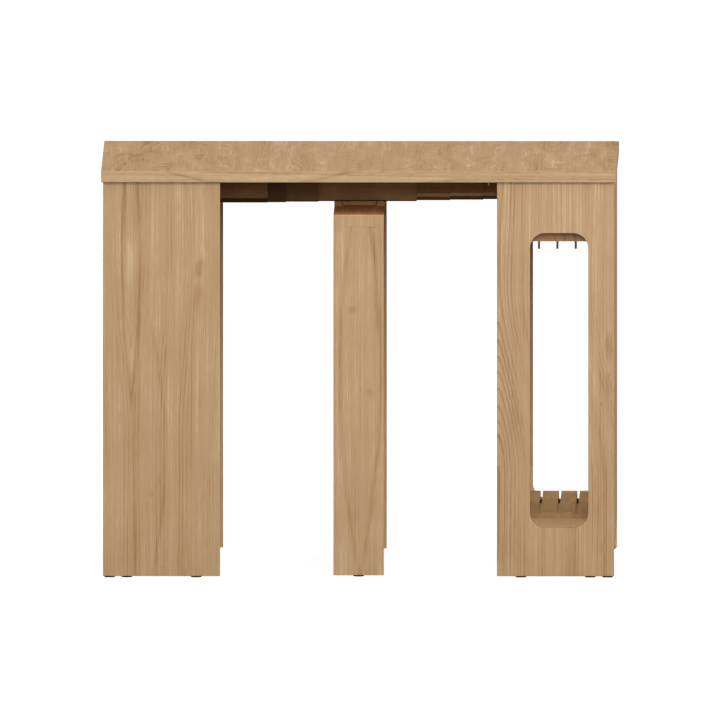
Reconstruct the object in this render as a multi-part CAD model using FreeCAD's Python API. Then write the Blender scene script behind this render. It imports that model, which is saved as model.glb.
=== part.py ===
import FreeCAD, Part

import os

# Extending console table, drawn out by one leaf: each physical piece is a solid of its own.
# Millimetres, +Z up, +X along the pull, -Y towards the long side with the rack's mouth.
# The origin lies on the floor under the middle of the top.

# Top boards
TABLE_HEIGHT = 776.0
TOP_THICKNESS = 22.0
TOP_DEPTH = 900.0
LEAF_WIDTH = 527.0
HALF_TOP_WIDTH = 226.4
SEAM_GAP = 0.1
TOP_END_OVERHANG = 3.5
TOP_SIDE_OVERHANG = 10.0

# Tongue strips and the edge grooves that they sit in
EDGE_GROOVE_HEIGHT = 5.0
EDGE_GROOVE_DEPTH = 15.0
TONGUE_PLAY = 0.3
TONGUE_REACH = 12.0
TONGUE_STOP = 30.0

# Leg boards
BOARD = 22.0
ARRIS = 1.0
OUTER_PANEL_LIFT = 60.0
CENTRE_LEG_WIDTH = 96.0
CENTRE_TOP_BOARD = 23.4
CENTRE_LEG_INSET = 5.0
SPINE_THICKNESS = 22.0
SPINE_LIFT = 60.0

# Glide pads
PAD_DIAMETER = 20.0
PAD_HEIGHT = 2.5
PAD_SPREAD = 66.0
PAD_EDGE_INSET = 12.5

# Telescopic guides
GUIDE_WIDTH = 16.0
GUIDE_HEIGHT = 54.0
RUN_GAP = 0.3
GUIDE_SET_OFFSET = 143.0
OUTER_GUIDE_LENGTH = 290.0
LEFT_MIDDLE_GUIDE_LENGTH = 322.0
LEFT_INNER_GUIDE_LENGTH = 384.0
RIGHT_MIDDLE_GUIDE_LENGTH = 354.0
RIGHT_INNER_GUIDE_LENGTH = 384.0
FIXED_GUIDE_LENGTH = 249.0
GUIDE_END_GAP = 2.5
FIXED_GUIDE_REACH = 108.8
RIGHT_INNER_GUIDE_REACH = 172.0
RIGHT_MIDDLE_GUIDE_REACH = 234.7
GUIDE_GROOVE_DEPTH = 5.7
GUIDE_GROOVE_HEIGHT = 30.0
GUIDE_LIP = 6.7
GUIDE_FLANK_RISE = 5.7
GUIDE_STOP = 3.0
OUTER_GUIDE_BEVEL = 9.0
GUIDE_BEVEL = 2.5
KEY_LENGTH = 45.0
KEY_PLAY = 0.45

# Saddle blocks, and the cheeks that house them
SADDLE_HEIGHT = 9.5
SADDLE_FOOT_WIDTH = 60.2
SADDLE_HEAD_WIDTH = 66.4
SADDLE_PLAY = 1.7

# Slot and leaf rack in the right leg
SLOT_INSET = 62.7
SLOT_WIDTH = 111.0
SLOT_BOTTOM = 95.0
SLOT_HEAD = 97.3
SLOT_RADIUS = 29.0
RACK_SET_BACK = 54.5
RACK_TOP_DROP = 16.8
LEAF_BAYS = 3
LEAF_BAY_INSET = 17.0
LEAF_BAY_PITCH = 35.0
FIN_THICKNESS = 4.0
FIN_HEIGHT = 14.3
FIN_LENGTH = 45.0
SLAT_HEIGHT = 16.2
SLAT_GAP = 4.4
COMB_SET_BACK = 284.5
COMB_LENGTH = 240.0
COMB_HEIGHT = 12.0
COMB_GROOVE_DEPTH = 3.0

# Leaf clips
CLIP_SET_BACK = 75.0
CLIP_WIDTH = 16.0
CLIP_HEIGHT = 4.6
CLIP_EDGE_INSET = 6.0
CLIP_SOCKET_LENGTH = 26.0
CLIP_PRONG_LENGTH = 20.0
CLIP_ROD_DIAMETER = 2.6
CLIP_ROD_PLAY = 0.3
CLIP_ROD_GRIP = 18.0
CLIP_LUG_DIAMETER = 4.0
CLIP_LUG_DROP = 6.1
CLIP_ARRIS = 1.0

# Cleats, screws and dowels
CLEAT = 22.0
CLEAT_END_INSET = 20.0
CLEAT_GUIDE_GAP = 8.0
SCREW_DIAMETER = 4.0
SCREW_BITE = 14.0
SCREW_HEAD_DIAMETER = 8.0
SCREW_HEAD_HEIGHT = 2.0
SCREW_SHARES = (0.15, 0.85)
DOWEL_DIAMETER = 8.0
DOWEL_PANEL_DEPTH = 12.0
DOWEL_BOARD_DEPTH = 20.0
DOWEL_ROW_SHARES = (0.12, 0.5, 0.88)
RACK_DOWEL_SHARES = (0.25, 0.75)
CUT_OVERRUN = 1.0

# Levels and planes that follow from the sizes above
TOP_UNDER = TABLE_HEIGHT - TOP_THICKNESS
TOP_MID = TOP_UNDER + TOP_THICKNESS / 2
TOP_EDGE = TOP_DEPTH / 2
LEAF_EDGE = LEAF_WIDTH / 2
HALF_INNER = LEAF_EDGE + SEAM_GAP
HALF_OUTER = HALF_INNER + HALF_TOP_WIDTH
LEG_INNER = HALF_INNER
LEG_OUTER = HALF_OUTER - TOP_END_OVERHANG
LEG_MIDDLE = (LEG_INNER + LEG_OUTER) / 2
LEG_FACE = TOP_EDGE - TOP_SIDE_OVERHANG
LEG_INSIDE = LEG_FACE - BOARD
OUTER_INSIDE = LEG_OUTER - BOARD
OUTER_PANEL_FOOT = PAD_HEIGHT + OUTER_PANEL_LIFT
GUIDE_TOP = TOP_UNDER - RUN_GAP
GUIDE_BOTTOM = GUIDE_TOP - GUIDE_HEIGHT
GUIDE_PITCH = GUIDE_WIDTH + RUN_GAP
GUIDE_SLOPE = GUIDE_FLANK_RISE / GUIDE_GROOVE_DEPTH
CENTRE_TOP = GUIDE_BOTTOM - SADDLE_HEIGHT
CENTRE_SHELF = CENTRE_TOP - CENTRE_TOP_BOARD
CENTRE_FACE = LEG_INSIDE - CENTRE_LEG_INSET
CENTRE_INSIDE = CENTRE_FACE - BOARD
SLOT_NEAR = LEG_INNER + SLOT_INSET
SLOT_FAR = SLOT_NEAR + SLOT_WIDTH
SLOT_TOP = TOP_UNDER - SLOT_HEAD
RACK_NEAR = LEG_INNER + RACK_SET_BACK
RACK_ROOF = SLOT_TOP - RACK_TOP_DROP
COMB_FRONT = COMB_SET_BACK - LEG_FACE
COMB_BACK = COMB_FRONT + COMB_LENGTH
TONGUE_HEIGHT = EDGE_GROOVE_HEIGHT - 2 * TONGUE_PLAY
CLEAT_UNDER = TOP_UNDER - CLEAT
CLIP_OFFSET = TOP_EDGE - CLIP_SET_BACK

# Guide lanes in one set, counted from the side away from the table's middle
LANES = ("left_outer", "left_middle", "left_inner", "fixed_left",
         "fixed_right", "right_inner", "right_middle", "right_outer")
FIRST_RIGHT_OF_MIDDLE = LANES.index("fixed_right")

# Where each guide starts and ends along the pull
GUIDE_SPANS = {
    "left_outer": (-OUTER_INSIDE, -OUTER_INSIDE + OUTER_GUIDE_LENGTH),
    "left_middle": (-OUTER_INSIDE + GUIDE_END_GAP,
                    -OUTER_INSIDE + GUIDE_END_GAP + LEFT_MIDDLE_GUIDE_LENGTH),
    "left_inner": (-OUTER_INSIDE + GUIDE_END_GAP,
                   -OUTER_INSIDE + GUIDE_END_GAP + LEFT_INNER_GUIDE_LENGTH),
    "fixed_left": (FIXED_GUIDE_REACH - FIXED_GUIDE_LENGTH, FIXED_GUIDE_REACH),
    "fixed_right": (FIXED_GUIDE_REACH - FIXED_GUIDE_LENGTH, FIXED_GUIDE_REACH),
    "right_inner": (RIGHT_INNER_GUIDE_REACH - RIGHT_INNER_GUIDE_LENGTH, RIGHT_INNER_GUIDE_REACH),
    "right_middle": (RIGHT_MIDDLE_GUIDE_REACH - RIGHT_MIDDLE_GUIDE_LENGTH, RIGHT_MIDDLE_GUIDE_REACH),
    "right_outer": (OUTER_INSIDE - OUTER_GUIDE_LENGTH, OUTER_INSIDE),
}

UP = FreeCAD.Vector(0, 0, 1)
ALONG = FreeCAD.Vector(1, 0, 0)
ACROSS = FreeCAD.Vector(0, 1, 0)
ORIGIN = FreeCAD.Vector(0, 0, 0)


def block(x_span, y_span, z_span):
    """A box between two values on each axis, in either order."""
    low = [min(span) for span in (x_span, y_span, z_span)]
    size = [max(span) - min(span) for span in (x_span, y_span, z_span)]
    return Part.makeBox(*size, FreeCAD.Vector(*low))


def prism(points, direction):
    """A straight solid with the outline's points as its base."""
    return Part.Face(Part.makePolygon(points + points[:1])).extrude(direction)


def lies_across(edge, axis):
    """True for an edge that keeps one value of the named axis (X, Y or Z)."""
    length = getattr(edge.BoundBox, axis + "Length")
    return length < ARRIS / 2


def eased(board, wanted):
    """The board with the wanted edges rounded by the arris radius."""
    return board.makeFillet(ARRIS, [edge for edge in board.Edges if wanted(edge)])


def eased_panel(board):
    """A leg board with the rims of its two faces rounded."""
    return eased(board, lambda edge: lies_across(edge, "Y"))


def mirrored_x(shape):
    """The shape on the other side of the middle leg."""
    return shape.mirror(ORIGIN, ALONG)


def mirrored_y(shape):
    """The shape on the other long side of the table."""
    return shape.mirror(ORIGIN, ACROSS)


def both_sides(shape):
    """The shape and its twin on the other long side."""
    return [shape, mirrored_y(shape)]


def between(span, share):
    """The place at a share of the way along a span."""
    return span[0] + (span[1] - span[0]) * share


def edge_groove(x_open, inward):
    """The cutter for a stopped groove in a top board's edge at x_open, running inward along X."""
    half_length = TOP_EDGE - TONGUE_STOP + TONGUE_PLAY
    return block(
        (x_open - inward * CUT_OVERRUN, x_open + inward * EDGE_GROOVE_DEPTH),
        (-half_length, half_length),
        (TOP_MID - EDGE_GROOVE_HEIGHT / 2, TOP_MID + EDGE_GROOVE_HEIGHT / 2),
    )


def tongue(x_root, x_tip):
    """A loose tongue strip from the bottom of its own groove to its tip in the next board."""
    half_length = TOP_EDGE - TONGUE_STOP
    return block(
        (x_root, x_tip),
        (-half_length, half_length),
        (TOP_MID - TONGUE_HEIGHT / 2, TOP_MID + TONGUE_HEIGHT / 2),
    )


def half_top():
    """The right half-top, with its groove in the edge that meets the leaf."""
    board = block((HALF_INNER, HALF_OUTER), (-TOP_EDGE, TOP_EDGE), (TOP_UNDER, TABLE_HEIGHT))
    board = eased(board, lambda edge: edge.BoundBox.XMax > HALF_INNER + ARRIS)
    return board.cut(edge_groove(HALF_INNER, 1))


def leaf():
    """The leaf between the half-tops, grooved in both meeting edges."""
    board = block((-LEAF_EDGE, LEAF_EDGE), (-TOP_EDGE, TOP_EDGE), (TOP_UNDER, TABLE_HEIGHT))
    board = eased(board, lambda edge: not lies_across(edge, "X"))
    return board.cut(edge_groove(LEAF_EDGE, -1)).cut(edge_groove(-LEAF_EDGE, 1))


def clip_block(x_span):
    """A clip's metal body under the top, on the front side."""
    body = block(
        x_span,
        (-CLIP_OFFSET - CLIP_WIDTH / 2, -CLIP_OFFSET + CLIP_WIDTH / 2),
        (TOP_UNDER - CLIP_HEIGHT, TOP_UNDER),
    )
    lower = [edge for edge in body.Edges if edge.BoundBox.ZMax < TOP_UNDER - CLIP_HEIGHT / 2]
    return body.makeFillet(CLIP_ARRIS, lower)


def clip_rod(x_start, x_end, radius):
    """A round bar along X at a clip's middle, for a prong or for the bore of a socket."""
    base = FreeCAD.Vector(min(x_start, x_end), -CLIP_OFFSET, TOP_UNDER - CLIP_HEIGHT / 2)
    return Part.makeCylinder(radius, abs(x_end - x_start), base, ALONG)


def clip_socket(seam_edge, inward):
    """A socket on the board whose seam edge is given, reaching inward along X."""
    near = seam_edge + inward * CLIP_EDGE_INSET
    far = near + inward * CLIP_SOCKET_LENGTH
    bore_end = near + inward * (CLIP_ROD_GRIP + CLIP_ROD_PLAY)
    radius = CLIP_ROD_DIAMETER / 2 + CLIP_ROD_PLAY
    return clip_block((near, far)).cut(clip_rod(near - inward * CUT_OVERRUN, bore_end, radius))


def clip_lug(x):
    """The round lug under a prong, which a thumb pushes to seat the clip."""
    base = FreeCAD.Vector(x, -CLIP_OFFSET, TOP_UNDER - CLIP_HEIGHT - CLIP_LUG_DROP)
    return Part.makeCylinder(CLIP_LUG_DIAMETER / 2, CLIP_LUG_DROP + CLIP_HEIGHT / 2, base, UP)


def clip_prong(seam_edge, inward, far_seam_edge):
    """A prong on the board whose seam edge is given, with its rod reaching past the other edge."""
    near = seam_edge + inward * CLIP_EDGE_INSET
    far = near + inward * CLIP_PRONG_LENGTH
    tip = far_seam_edge - inward * (CLIP_EDGE_INSET + CLIP_ROD_GRIP)
    rod = clip_rod(near, tip, CLIP_ROD_DIAMETER / 2)
    return clip_block((near, far)).fuse([rod, clip_lug((near + far) / 2)]).removeSplitter()


def leg_panel():
    """The right leg's plain front panel."""
    return block((LEG_INNER, LEG_OUTER), (-LEG_FACE, -LEG_INSIDE), (PAD_HEIGHT, TOP_UNDER))


def slotted_leg_panel():
    """The right leg's front panel with the tall rounded slot that leaves go in by."""
    slot = block(
        (SLOT_NEAR, SLOT_FAR),
        (-LEG_FACE - CUT_OVERRUN, -LEG_INSIDE + CUT_OVERRUN),
        (SLOT_BOTTOM, SLOT_TOP),
    )
    corners = [edge for edge in slot.Edges if lies_across(edge, "X") and lies_across(edge, "Z")]
    return leg_panel().cut(slot.makeFillet(SLOT_RADIUS, corners))


def outer_panel():
    """The right leg's outer panel, between its front and rear panels."""
    board = block((OUTER_INSIDE, LEG_OUTER), (-LEG_INSIDE, LEG_INSIDE), (OUTER_PANEL_FOOT, TOP_UNDER))
    return eased(board, lambda edge: lies_across(edge, "X") and lies_across(edge, "Z"))


def pad(x):
    """One round glide pad under a front panel."""
    return Part.makeCylinder(PAD_DIAMETER / 2, PAD_HEIGHT, FreeCAD.Vector(x, -LEG_FACE + BOARD / 2, 0), UP)


def end_leg_pads():
    """The pads under the right leg's two panels."""
    places = (LEG_MIDDLE - PAD_SPREAD, LEG_MIDDLE + PAD_SPREAD, LEG_OUTER - PAD_EDGE_INSET)
    return [twin for x in places for twin in both_sides(pad(x))]


def lane_front(lane):
    """The face of a lane that looks away from the table's middle, in the front set."""
    steps = LANES.index(lane) - FIRST_RIGHT_OF_MIDDLE
    return RUN_GAP / 2 - GUIDE_SET_OFFSET + steps * GUIDE_PITCH


def groove_outline(x, mouth, inward, start, end, play):
    """The slanted section of a guide groove, from depth start to depth end, at one place along X."""
    low = GUIDE_BOTTOM + GUIDE_LIP + play
    high = GUIDE_BOTTOM + GUIDE_LIP + GUIDE_GROOVE_HEIGHT - play
    return [
        FreeCAD.Vector(x, mouth + inward * depth, level + depth * GUIDE_SLOPE)
        for depth, level in ((start, low), (end, low), (end, high), (start, high))
    ]


def guide(lane):
    """One beam of the front guide set, with its groove if it has one."""
    start, end = GUIDE_SPANS[lane]
    front = lane_front(lane)
    back = front + GUIDE_WIDTH
    fixed = lane.startswith("fixed")
    beam = block((start, end), (front, back), (GUIDE_BOTTOM, TOP_UNDER if fixed else GUIDE_TOP))
    if lane.startswith("left"):
        outline = groove_outline(start - CUT_OVERRUN, back, -1, -CUT_OVERRUN, GUIDE_GROOVE_DEPTH, 0)
        beam = beam.cut(prism(outline, ALONG * (end - start - GUIDE_STOP + CUT_OVERRUN)))
    if lane.startswith("right"):
        outline = groove_outline(start + GUIDE_STOP, front, 1, -CUT_OVERRUN, GUIDE_GROOVE_DEPTH, 0)
        beam = beam.cut(prism(outline, ALONG * (end - start - GUIDE_STOP + CUT_OVERRUN)))
    if lane.startswith("left") or lane == "fixed_left":
        bevel = OUTER_GUIDE_BEVEL if lane == "left_outer" else GUIDE_BEVEL
        corner = [
            FreeCAD.Vector(start, front, GUIDE_BOTTOM),
            FreeCAD.Vector(start, front + bevel, GUIDE_BOTTOM),
            FreeCAD.Vector(start, front, GUIDE_BOTTOM + bevel),
        ]
        beam = beam.cut(prism(corner, ALONG * (end - start)))
    return beam


def guide_key(lane):
    """The sliding key on a beam of the front set, which runs in the next beam's groove."""
    start, end = GUIDE_SPANS[lane]
    front = lane_front(lane)
    reach = GUIDE_GROOVE_DEPTH - RUN_GAP
    if lane in ("left_middle", "left_inner", "fixed_left"):
        outline = groove_outline(start, front - RUN_GAP, -1, -RUN_GAP, reach, KEY_PLAY)
    else:
        mouth = front + GUIDE_WIDTH + RUN_GAP
        outline = groove_outline(end - KEY_LENGTH, mouth, 1, -RUN_GAP, reach, KEY_PLAY)
    return prism(outline, ALONG * KEY_LENGTH)


def under_fixed_guides(corners):
    """A prism of this outline in X and Z, as deep as the front set's two fixed guides."""
    front = lane_front("fixed_left")
    back = lane_front("fixed_right") + GUIDE_WIDTH
    outline = [FreeCAD.Vector(x, front, z) for x, z in corners]
    return prism(outline, ACROSS * (back - front))


def saddle():
    """The front set's saddle block under its fixed guides, wider at its head than at its foot."""
    foot = CENTRE_TOP + SADDLE_PLAY
    return under_fixed_guides((
        (-SADDLE_FOOT_WIDTH / 2, foot), (SADDLE_FOOT_WIDTH / 2, foot),
        (SADDLE_HEAD_WIDTH / 2, GUIDE_BOTTOM), (-SADDLE_HEAD_WIDTH / 2, GUIDE_BOTTOM),
    ))


def saddle_cheek():
    """The cheek on the centre leg's board that houses the front saddle block on its right."""
    outer = CENTRE_LEG_WIDTH / 2
    return under_fixed_guides((
        (SADDLE_FOOT_WIDTH / 2 + SADDLE_PLAY, CENTRE_TOP), (outer, CENTRE_TOP),
        (outer, GUIDE_BOTTOM), (SADDLE_HEAD_WIDTH / 2 + SADDLE_PLAY, GUIDE_BOTTOM),
    ))


def centre_panel():
    """The centre leg's front panel."""
    half = CENTRE_LEG_WIDTH / 2
    return block((-half, half), (-CENTRE_FACE, -CENTRE_INSIDE), (PAD_HEIGHT, CENTRE_SHELF))


def centre_top_board():
    """The board that caps the centre leg and carries the saddle blocks."""
    half = CENTRE_LEG_WIDTH / 2
    board = block((-half, half), (-CENTRE_FACE, CENTRE_FACE), (CENTRE_SHELF, CENTRE_TOP))
    return eased(board, lambda edge: edge.BoundBox.ZMin > CENTRE_TOP - ARRIS)


def spine():
    """The board between the centre leg's two panels."""
    half = SPINE_THICKNESS / 2
    return block((-half, half), (-CENTRE_INSIDE, CENTRE_INSIDE), (PAD_HEIGHT + SPINE_LIFT, CENTRE_SHELF))


def cleats(guide_lane):
    """A leg's cleats under the half-top: along the panels, the outer board and the leg's own guides."""
    level = (CLEAT_UNDER, TOP_UNDER)
    along = (LEG_INNER + CLEAT_END_INSET, OUTER_INSIDE)
    set_front = lane_front(LANES[0])
    set_back = lane_front(LANES[-1]) + GUIDE_WIDTH
    beside_guide = (set_front - CLEAT, set_front) if guide_lane == LANES[0] else (set_back, set_back + CLEAT)
    outer_x = (OUTER_INSIDE - CLEAT, OUTER_INSIDE)
    middle = set_back + CLEAT + CLEAT_GUIDE_GAP
    front = [
        (along, (-LEG_INSIDE, -LEG_INSIDE + CLEAT)),
        (along, beside_guide),
        (outer_x, (-LEG_INSIDE + CLEAT, set_front - CLEAT - CLEAT_GUIDE_GAP)),
    ]
    made = [twin for x, y in front for twin in both_sides(block(x, y, level))]
    return made + [block(outer_x, (middle, -middle), level)]


def screw(x, y):
    """A wood screw up through a cleat into the half-top, its head under the cleat."""
    shank = Part.makeCylinder(
        SCREW_DIAMETER / 2, CLEAT + SCREW_BITE, FreeCAD.Vector(x, y, CLEAT_UNDER), UP)
    head = Part.makeCylinder(
        SCREW_HEAD_DIAMETER / 2, SCREW_HEAD_HEIGHT,
        FreeCAD.Vector(x, y, CLEAT_UNDER - SCREW_HEAD_HEIGHT), UP)
    return shank.fuse(head).removeSplitter()


def cleat_screws(cleat):
    """The screws along one cleat."""
    box = cleat.BoundBox
    x_span, y_span = (box.XMin, box.XMax), (box.YMin, box.YMax)
    if box.XLength > box.YLength:
        return [screw(between(x_span, share), box.Center.y) for share in SCREW_SHARES]
    return [screw(box.Center.x, between(y_span, share)) for share in SCREW_SHARES]


def dowel(x, joint, z):
    """A dowel along Y across the joint between a front panel and the board behind it."""
    base = FreeCAD.Vector(x, joint - DOWEL_PANEL_DEPTH, z)
    return Part.makeCylinder(DOWEL_DIAMETER / 2, DOWEL_PANEL_DEPTH + DOWEL_BOARD_DEPTH, base, ACROSS)


def dowel_row(x, joint, z_span):
    """Dowels one above the other along a board's end, at both long sides of the table."""
    row = [dowel(x, joint, between(z_span, share)) for share in DOWEL_ROW_SHARES]
    return [twin for pin in row for twin in both_sides(pin)]


def side_dowel(y, z):
    """A dowel along X across the joint between the right leg's outer panel and a board of the rack."""
    base = FreeCAD.Vector(OUTER_INSIDE + DOWEL_PANEL_DEPTH, y, z)
    return Part.makeCylinder(DOWEL_DIAMETER / 2, DOWEL_PANEL_DEPTH + DOWEL_BOARD_DEPTH, base, -ALONG)


def rack_dowels():
    """Dowels that hold the rack's floor, and its top board beside the slot and along the outer panel."""
    floor_level = SLOT_BOTTOM - BOARD / 2
    roof_level = RACK_ROOF + BOARD / 2
    places = [between((RACK_NEAR, OUTER_INSIDE), share) for share in RACK_DOWEL_SHARES]
    pins = [dowel(x, -LEG_INSIDE, floor_level) for x in places]
    pins.append(dowel((SLOT_FAR + OUTER_INSIDE) / 2, -LEG_INSIDE, roof_level))
    spots = [between((-LEG_INSIDE, LEG_INSIDE), share) for share in RACK_DOWEL_SHARES]
    along_outer = [side_dowel(y, roof_level) for y in spots]
    return [twin for pin in pins for twin in both_sides(pin)] + along_outer


def bay_middle(number):
    """The middle of one leaf bay of the rack, counted from the mouth's near edge."""
    return SLOT_NEAR + LEAF_BAY_INSET + number * LEAF_BAY_PITCH


def rack_board(bottom):
    """A flat board of the rack across the leg, with its underside at the given level."""
    return block((RACK_NEAR, OUTER_INSIDE), (-LEG_INSIDE, LEG_INSIDE), (bottom, bottom + BOARD))


def rack_fins(number):
    """The two fins of one bay under the rack's top board, which stand in a stored leaf's groove."""
    middle = bay_middle(number)
    return both_sides(block(
        (middle - FIN_THICKNESS / 2, middle + FIN_THICKNESS / 2),
        (-LEG_INSIDE, FIN_LENGTH - LEG_INSIDE),
        (RACK_ROOF - FIN_HEIGHT, RACK_ROOF),
    ))


def comb_ramp(near, far, low, high):
    """A wedge along the comb's length, between its front and back levels below and those above."""
    corners = ((COMB_FRONT, low[0]), (COMB_BACK, low[1]), (COMB_BACK, high[1]), (COMB_FRONT, high[0]))
    outline = [FreeCAD.Vector(near, y, z) for y, z in corners]
    return prism(outline, ALONG * (far - near))


def comb_block():
    """The grooved ramp at the rack's mouth, over which a leaf's tongue slides up to the slats."""
    crest = (SLOT_BOTTOM + COMB_HEIGHT, SLOT_BOTTOM + SLAT_HEIGHT)
    groove = [level - COMB_GROOVE_DEPTH for level in crest]
    clear = [level + CUT_OVERRUN for level in crest]
    board = comb_ramp(RACK_NEAR, OUTER_INSIDE, (SLOT_BOTTOM, SLOT_BOTTOM), crest)
    for number in range(LEAF_BAYS):
        middle = bay_middle(number)
        board = board.cut(comb_ramp(middle - SLAT_GAP / 2, middle + SLAT_GAP / 2, groove, clear))
    return board


def rack_slat(number):
    """One slat behind the comb block, between two leaf gaps."""
    near = RACK_NEAR if number == 0 else bay_middle(number - 1) + SLAT_GAP / 2
    far = OUTER_INSIDE if number == LEAF_BAYS else bay_middle(number) - SLAT_GAP / 2
    return block((near, far), (COMB_BACK, LEG_INSIDE), (SLOT_BOTTOM, SLOT_BOTTOM + SLAT_HEIGHT))


def bored(board, pins):
    """The board with the holes that its dowels or screws sit in."""
    near = [pin for pin in pins if pin.BoundBox.intersect(board.BoundBox)]
    return board.cut(near) if near else board


def end_leg_nodes(side, turn, front_panel, guide_lane, extra_dowels):
    """The nodes of one end of the table; turn places what is modelled for the right-hand end."""
    dowels = dowel_row((OUTER_INSIDE + LEG_OUTER) / 2, -LEG_INSIDE, (OUTER_PANEL_FOOT, TOP_UNDER))
    battens = cleats(guide_lane)
    screws = [pin for batten in battens for pin in cleat_screws(batten)]
    joints = dowels + extra_dowels
    panel = bored(eased_panel(front_panel), joints)
    rear = bored(mirrored_y(eased_panel(front_panel)), joints)
    nodes = {
        side + "_top": bored(half_top(), screws),
        side + "_leg_front_panel": panel,
        side + "_leg_rear_panel": rear,
        side + "_leg_outer_panel": bored(outer_panel(), joints),
        side + "_leg_dowels": Part.makeCompound(joints),
        side + "_leg_cleats": Part.makeCompound([bored(batten, screws) for batten in battens]),
        side + "_leg_screws": Part.makeCompound(screws),
        side + "_leg_pads": Part.makeCompound(end_leg_pads()),
    }
    return {name: turn(shape) for name, shape in nodes.items()}


def rack_nodes():
    """The leaf rack's nodes, all in the right leg."""
    pins = rack_dowels()
    nodes = {
        "rack_top_board": bored(rack_board(RACK_ROOF), pins),
        "rack_floor_board": bored(rack_board(SLOT_BOTTOM - BOARD), pins),
        "rack_fins": Part.makeCompound([fin for number in range(LEAF_BAYS) for fin in rack_fins(number)]),
        "rack_comb_block": comb_block(),
    }
    for number in range(LEAF_BAYS + 1):
        nodes["rack_slat_" + str(number + 1)] = rack_slat(number)
    return nodes


def guide_nodes():
    """Every guide beam of both sets, and the keys grouped by the beam that carries them."""
    nodes = {}
    for lane in LANES:
        nodes["front_" + lane + "_guide"] = guide(lane)
        nodes["rear_" + lane + "_guide"] = mirrored_y(guide(lane))
    for lane in ("left_middle", "left_inner", "right_inner", "right_middle"):
        nodes[lane + "_guide_keys"] = Part.makeCompound(both_sides(guide_key(lane)))
    fixed = both_sides(guide_key("fixed_left")) + both_sides(guide_key("fixed_right"))
    nodes["fixed_guide_keys"] = Part.makeCompound(fixed)
    return nodes


def centre_nodes():
    """The centre leg's nodes."""
    dowels = dowel_row(0, -CENTRE_INSIDE, (PAD_HEIGHT + SPINE_LIFT, CENTRE_SHELF))
    centre_pad = pad(0).translated(ACROSS * (LEG_FACE - CENTRE_FACE))
    cheeks = both_sides(saddle_cheek()) + both_sides(mirrored_x(saddle_cheek()))
    return {
        "centre_leg_front_panel": bored(eased_panel(centre_panel()), dowels),
        "centre_leg_rear_panel": bored(mirrored_y(eased_panel(centre_panel())), dowels),
        "centre_leg_top_board": centre_top_board(),
        "centre_leg_spine": bored(spine(), dowels),
        "centre_leg_dowels": Part.makeCompound(dowels),
        "centre_leg_pads": Part.makeCompound(both_sides(centre_pad)),
        "front_saddle_block": saddle(),
        "rear_saddle_block": mirrored_y(saddle()),
        "saddle_cheeks": Part.makeCompound(cheeks),
    }


def seam_nodes():
    """The leaf, the tongue strips and the clips at the two seams."""
    leaf_sockets = both_sides(clip_socket(-LEAF_EDGE, 1))
    leaf_prongs = both_sides(clip_prong(LEAF_EDGE, -1, HALF_INNER))
    return {
        "leaf": leaf(),
        "leaf_tongue": tongue(-LEAF_EDGE + EDGE_GROOVE_DEPTH, -HALF_INNER - TONGUE_REACH),
        "right_top_tongue": tongue(HALF_INNER + EDGE_GROOVE_DEPTH, LEAF_EDGE - TONGUE_REACH),
        "leaf_clips": Part.makeCompound(leaf_sockets + leaf_prongs),
        "left_top_clips": Part.makeCompound(both_sides(clip_prong(-HALF_INNER, -1, -LEAF_EDGE))),
        "right_top_clips": Part.makeCompound(both_sides(clip_socket(HALF_INNER, 1))),
    }


def main():
    """Builds every node and writes one STEP file for each."""
    nodes = {}
    nodes.update(end_leg_nodes("left", mirrored_x, leg_panel(), "left_outer", []))
    nodes.update(end_leg_nodes(
        "right", lambda shape: shape, slotted_leg_panel(), "right_outer", rack_dowels()))
    nodes.update(rack_nodes())
    nodes.update(guide_nodes())
    nodes.update(centre_nodes())
    nodes.update(seam_nodes())
    os.makedirs("parts", exist_ok=True)
    for name, shape in nodes.items():
        shape.exportStep(os.path.join("parts", name + ".step"))
        print(name, len(shape.Solids), shape.isValid(), round(shape.Volume))
    print(len(nodes), "nodes")


main()
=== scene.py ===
"""Looks of an extending console table: wood finishes, small fittings, studio and camera."""
import logging
import math
from contextlib import contextmanager
from dataclasses import dataclass, replace
from enum import Enum
from typing import Callable, Iterator

import bmesh
import bpy
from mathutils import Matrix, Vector


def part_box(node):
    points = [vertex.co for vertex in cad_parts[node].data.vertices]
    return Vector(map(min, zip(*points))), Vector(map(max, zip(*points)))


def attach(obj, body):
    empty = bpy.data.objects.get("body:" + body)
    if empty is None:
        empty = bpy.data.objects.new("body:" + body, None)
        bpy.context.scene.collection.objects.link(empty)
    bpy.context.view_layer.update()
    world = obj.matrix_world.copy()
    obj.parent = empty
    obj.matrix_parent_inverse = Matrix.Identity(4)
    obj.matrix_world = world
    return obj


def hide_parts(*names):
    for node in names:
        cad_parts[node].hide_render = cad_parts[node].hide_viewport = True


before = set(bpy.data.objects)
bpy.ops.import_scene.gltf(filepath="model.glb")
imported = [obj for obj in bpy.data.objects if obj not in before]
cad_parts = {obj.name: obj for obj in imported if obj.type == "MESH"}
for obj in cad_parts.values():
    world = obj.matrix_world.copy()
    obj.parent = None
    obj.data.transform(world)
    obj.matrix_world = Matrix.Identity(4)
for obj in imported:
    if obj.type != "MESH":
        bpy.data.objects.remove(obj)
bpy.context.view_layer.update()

LOG = logging.getLogger("console_table")
MM = 0.001
HALF = 0.5
WELD = 0.001 * MM
SMOOTH_ANGLE = math.radians(32.0)

Span = tuple[float, float]
Triple = tuple[float, float, float]
Colour = Triple
Material = bpy.types.Material
Piece = bpy.types.Object
Socket = bpy.types.NodeSocket
Value = Socket | float
Places = list[Socket]
Wanted = Callable[..., bool]


class Axis(Enum):
    """The three directions of the shared frame."""

    X = 0
    Y = 1
    Z = 2


class Side(Enum):
    """The two ends of the table, as the sign of X."""

    LEFT = -1
    RIGHT = 1


class Body(Enum):
    """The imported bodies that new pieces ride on."""

    CENTRE = "centre"
    LEFT_END = "left_end"
    RIGHT_END = "right_end"


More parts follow.
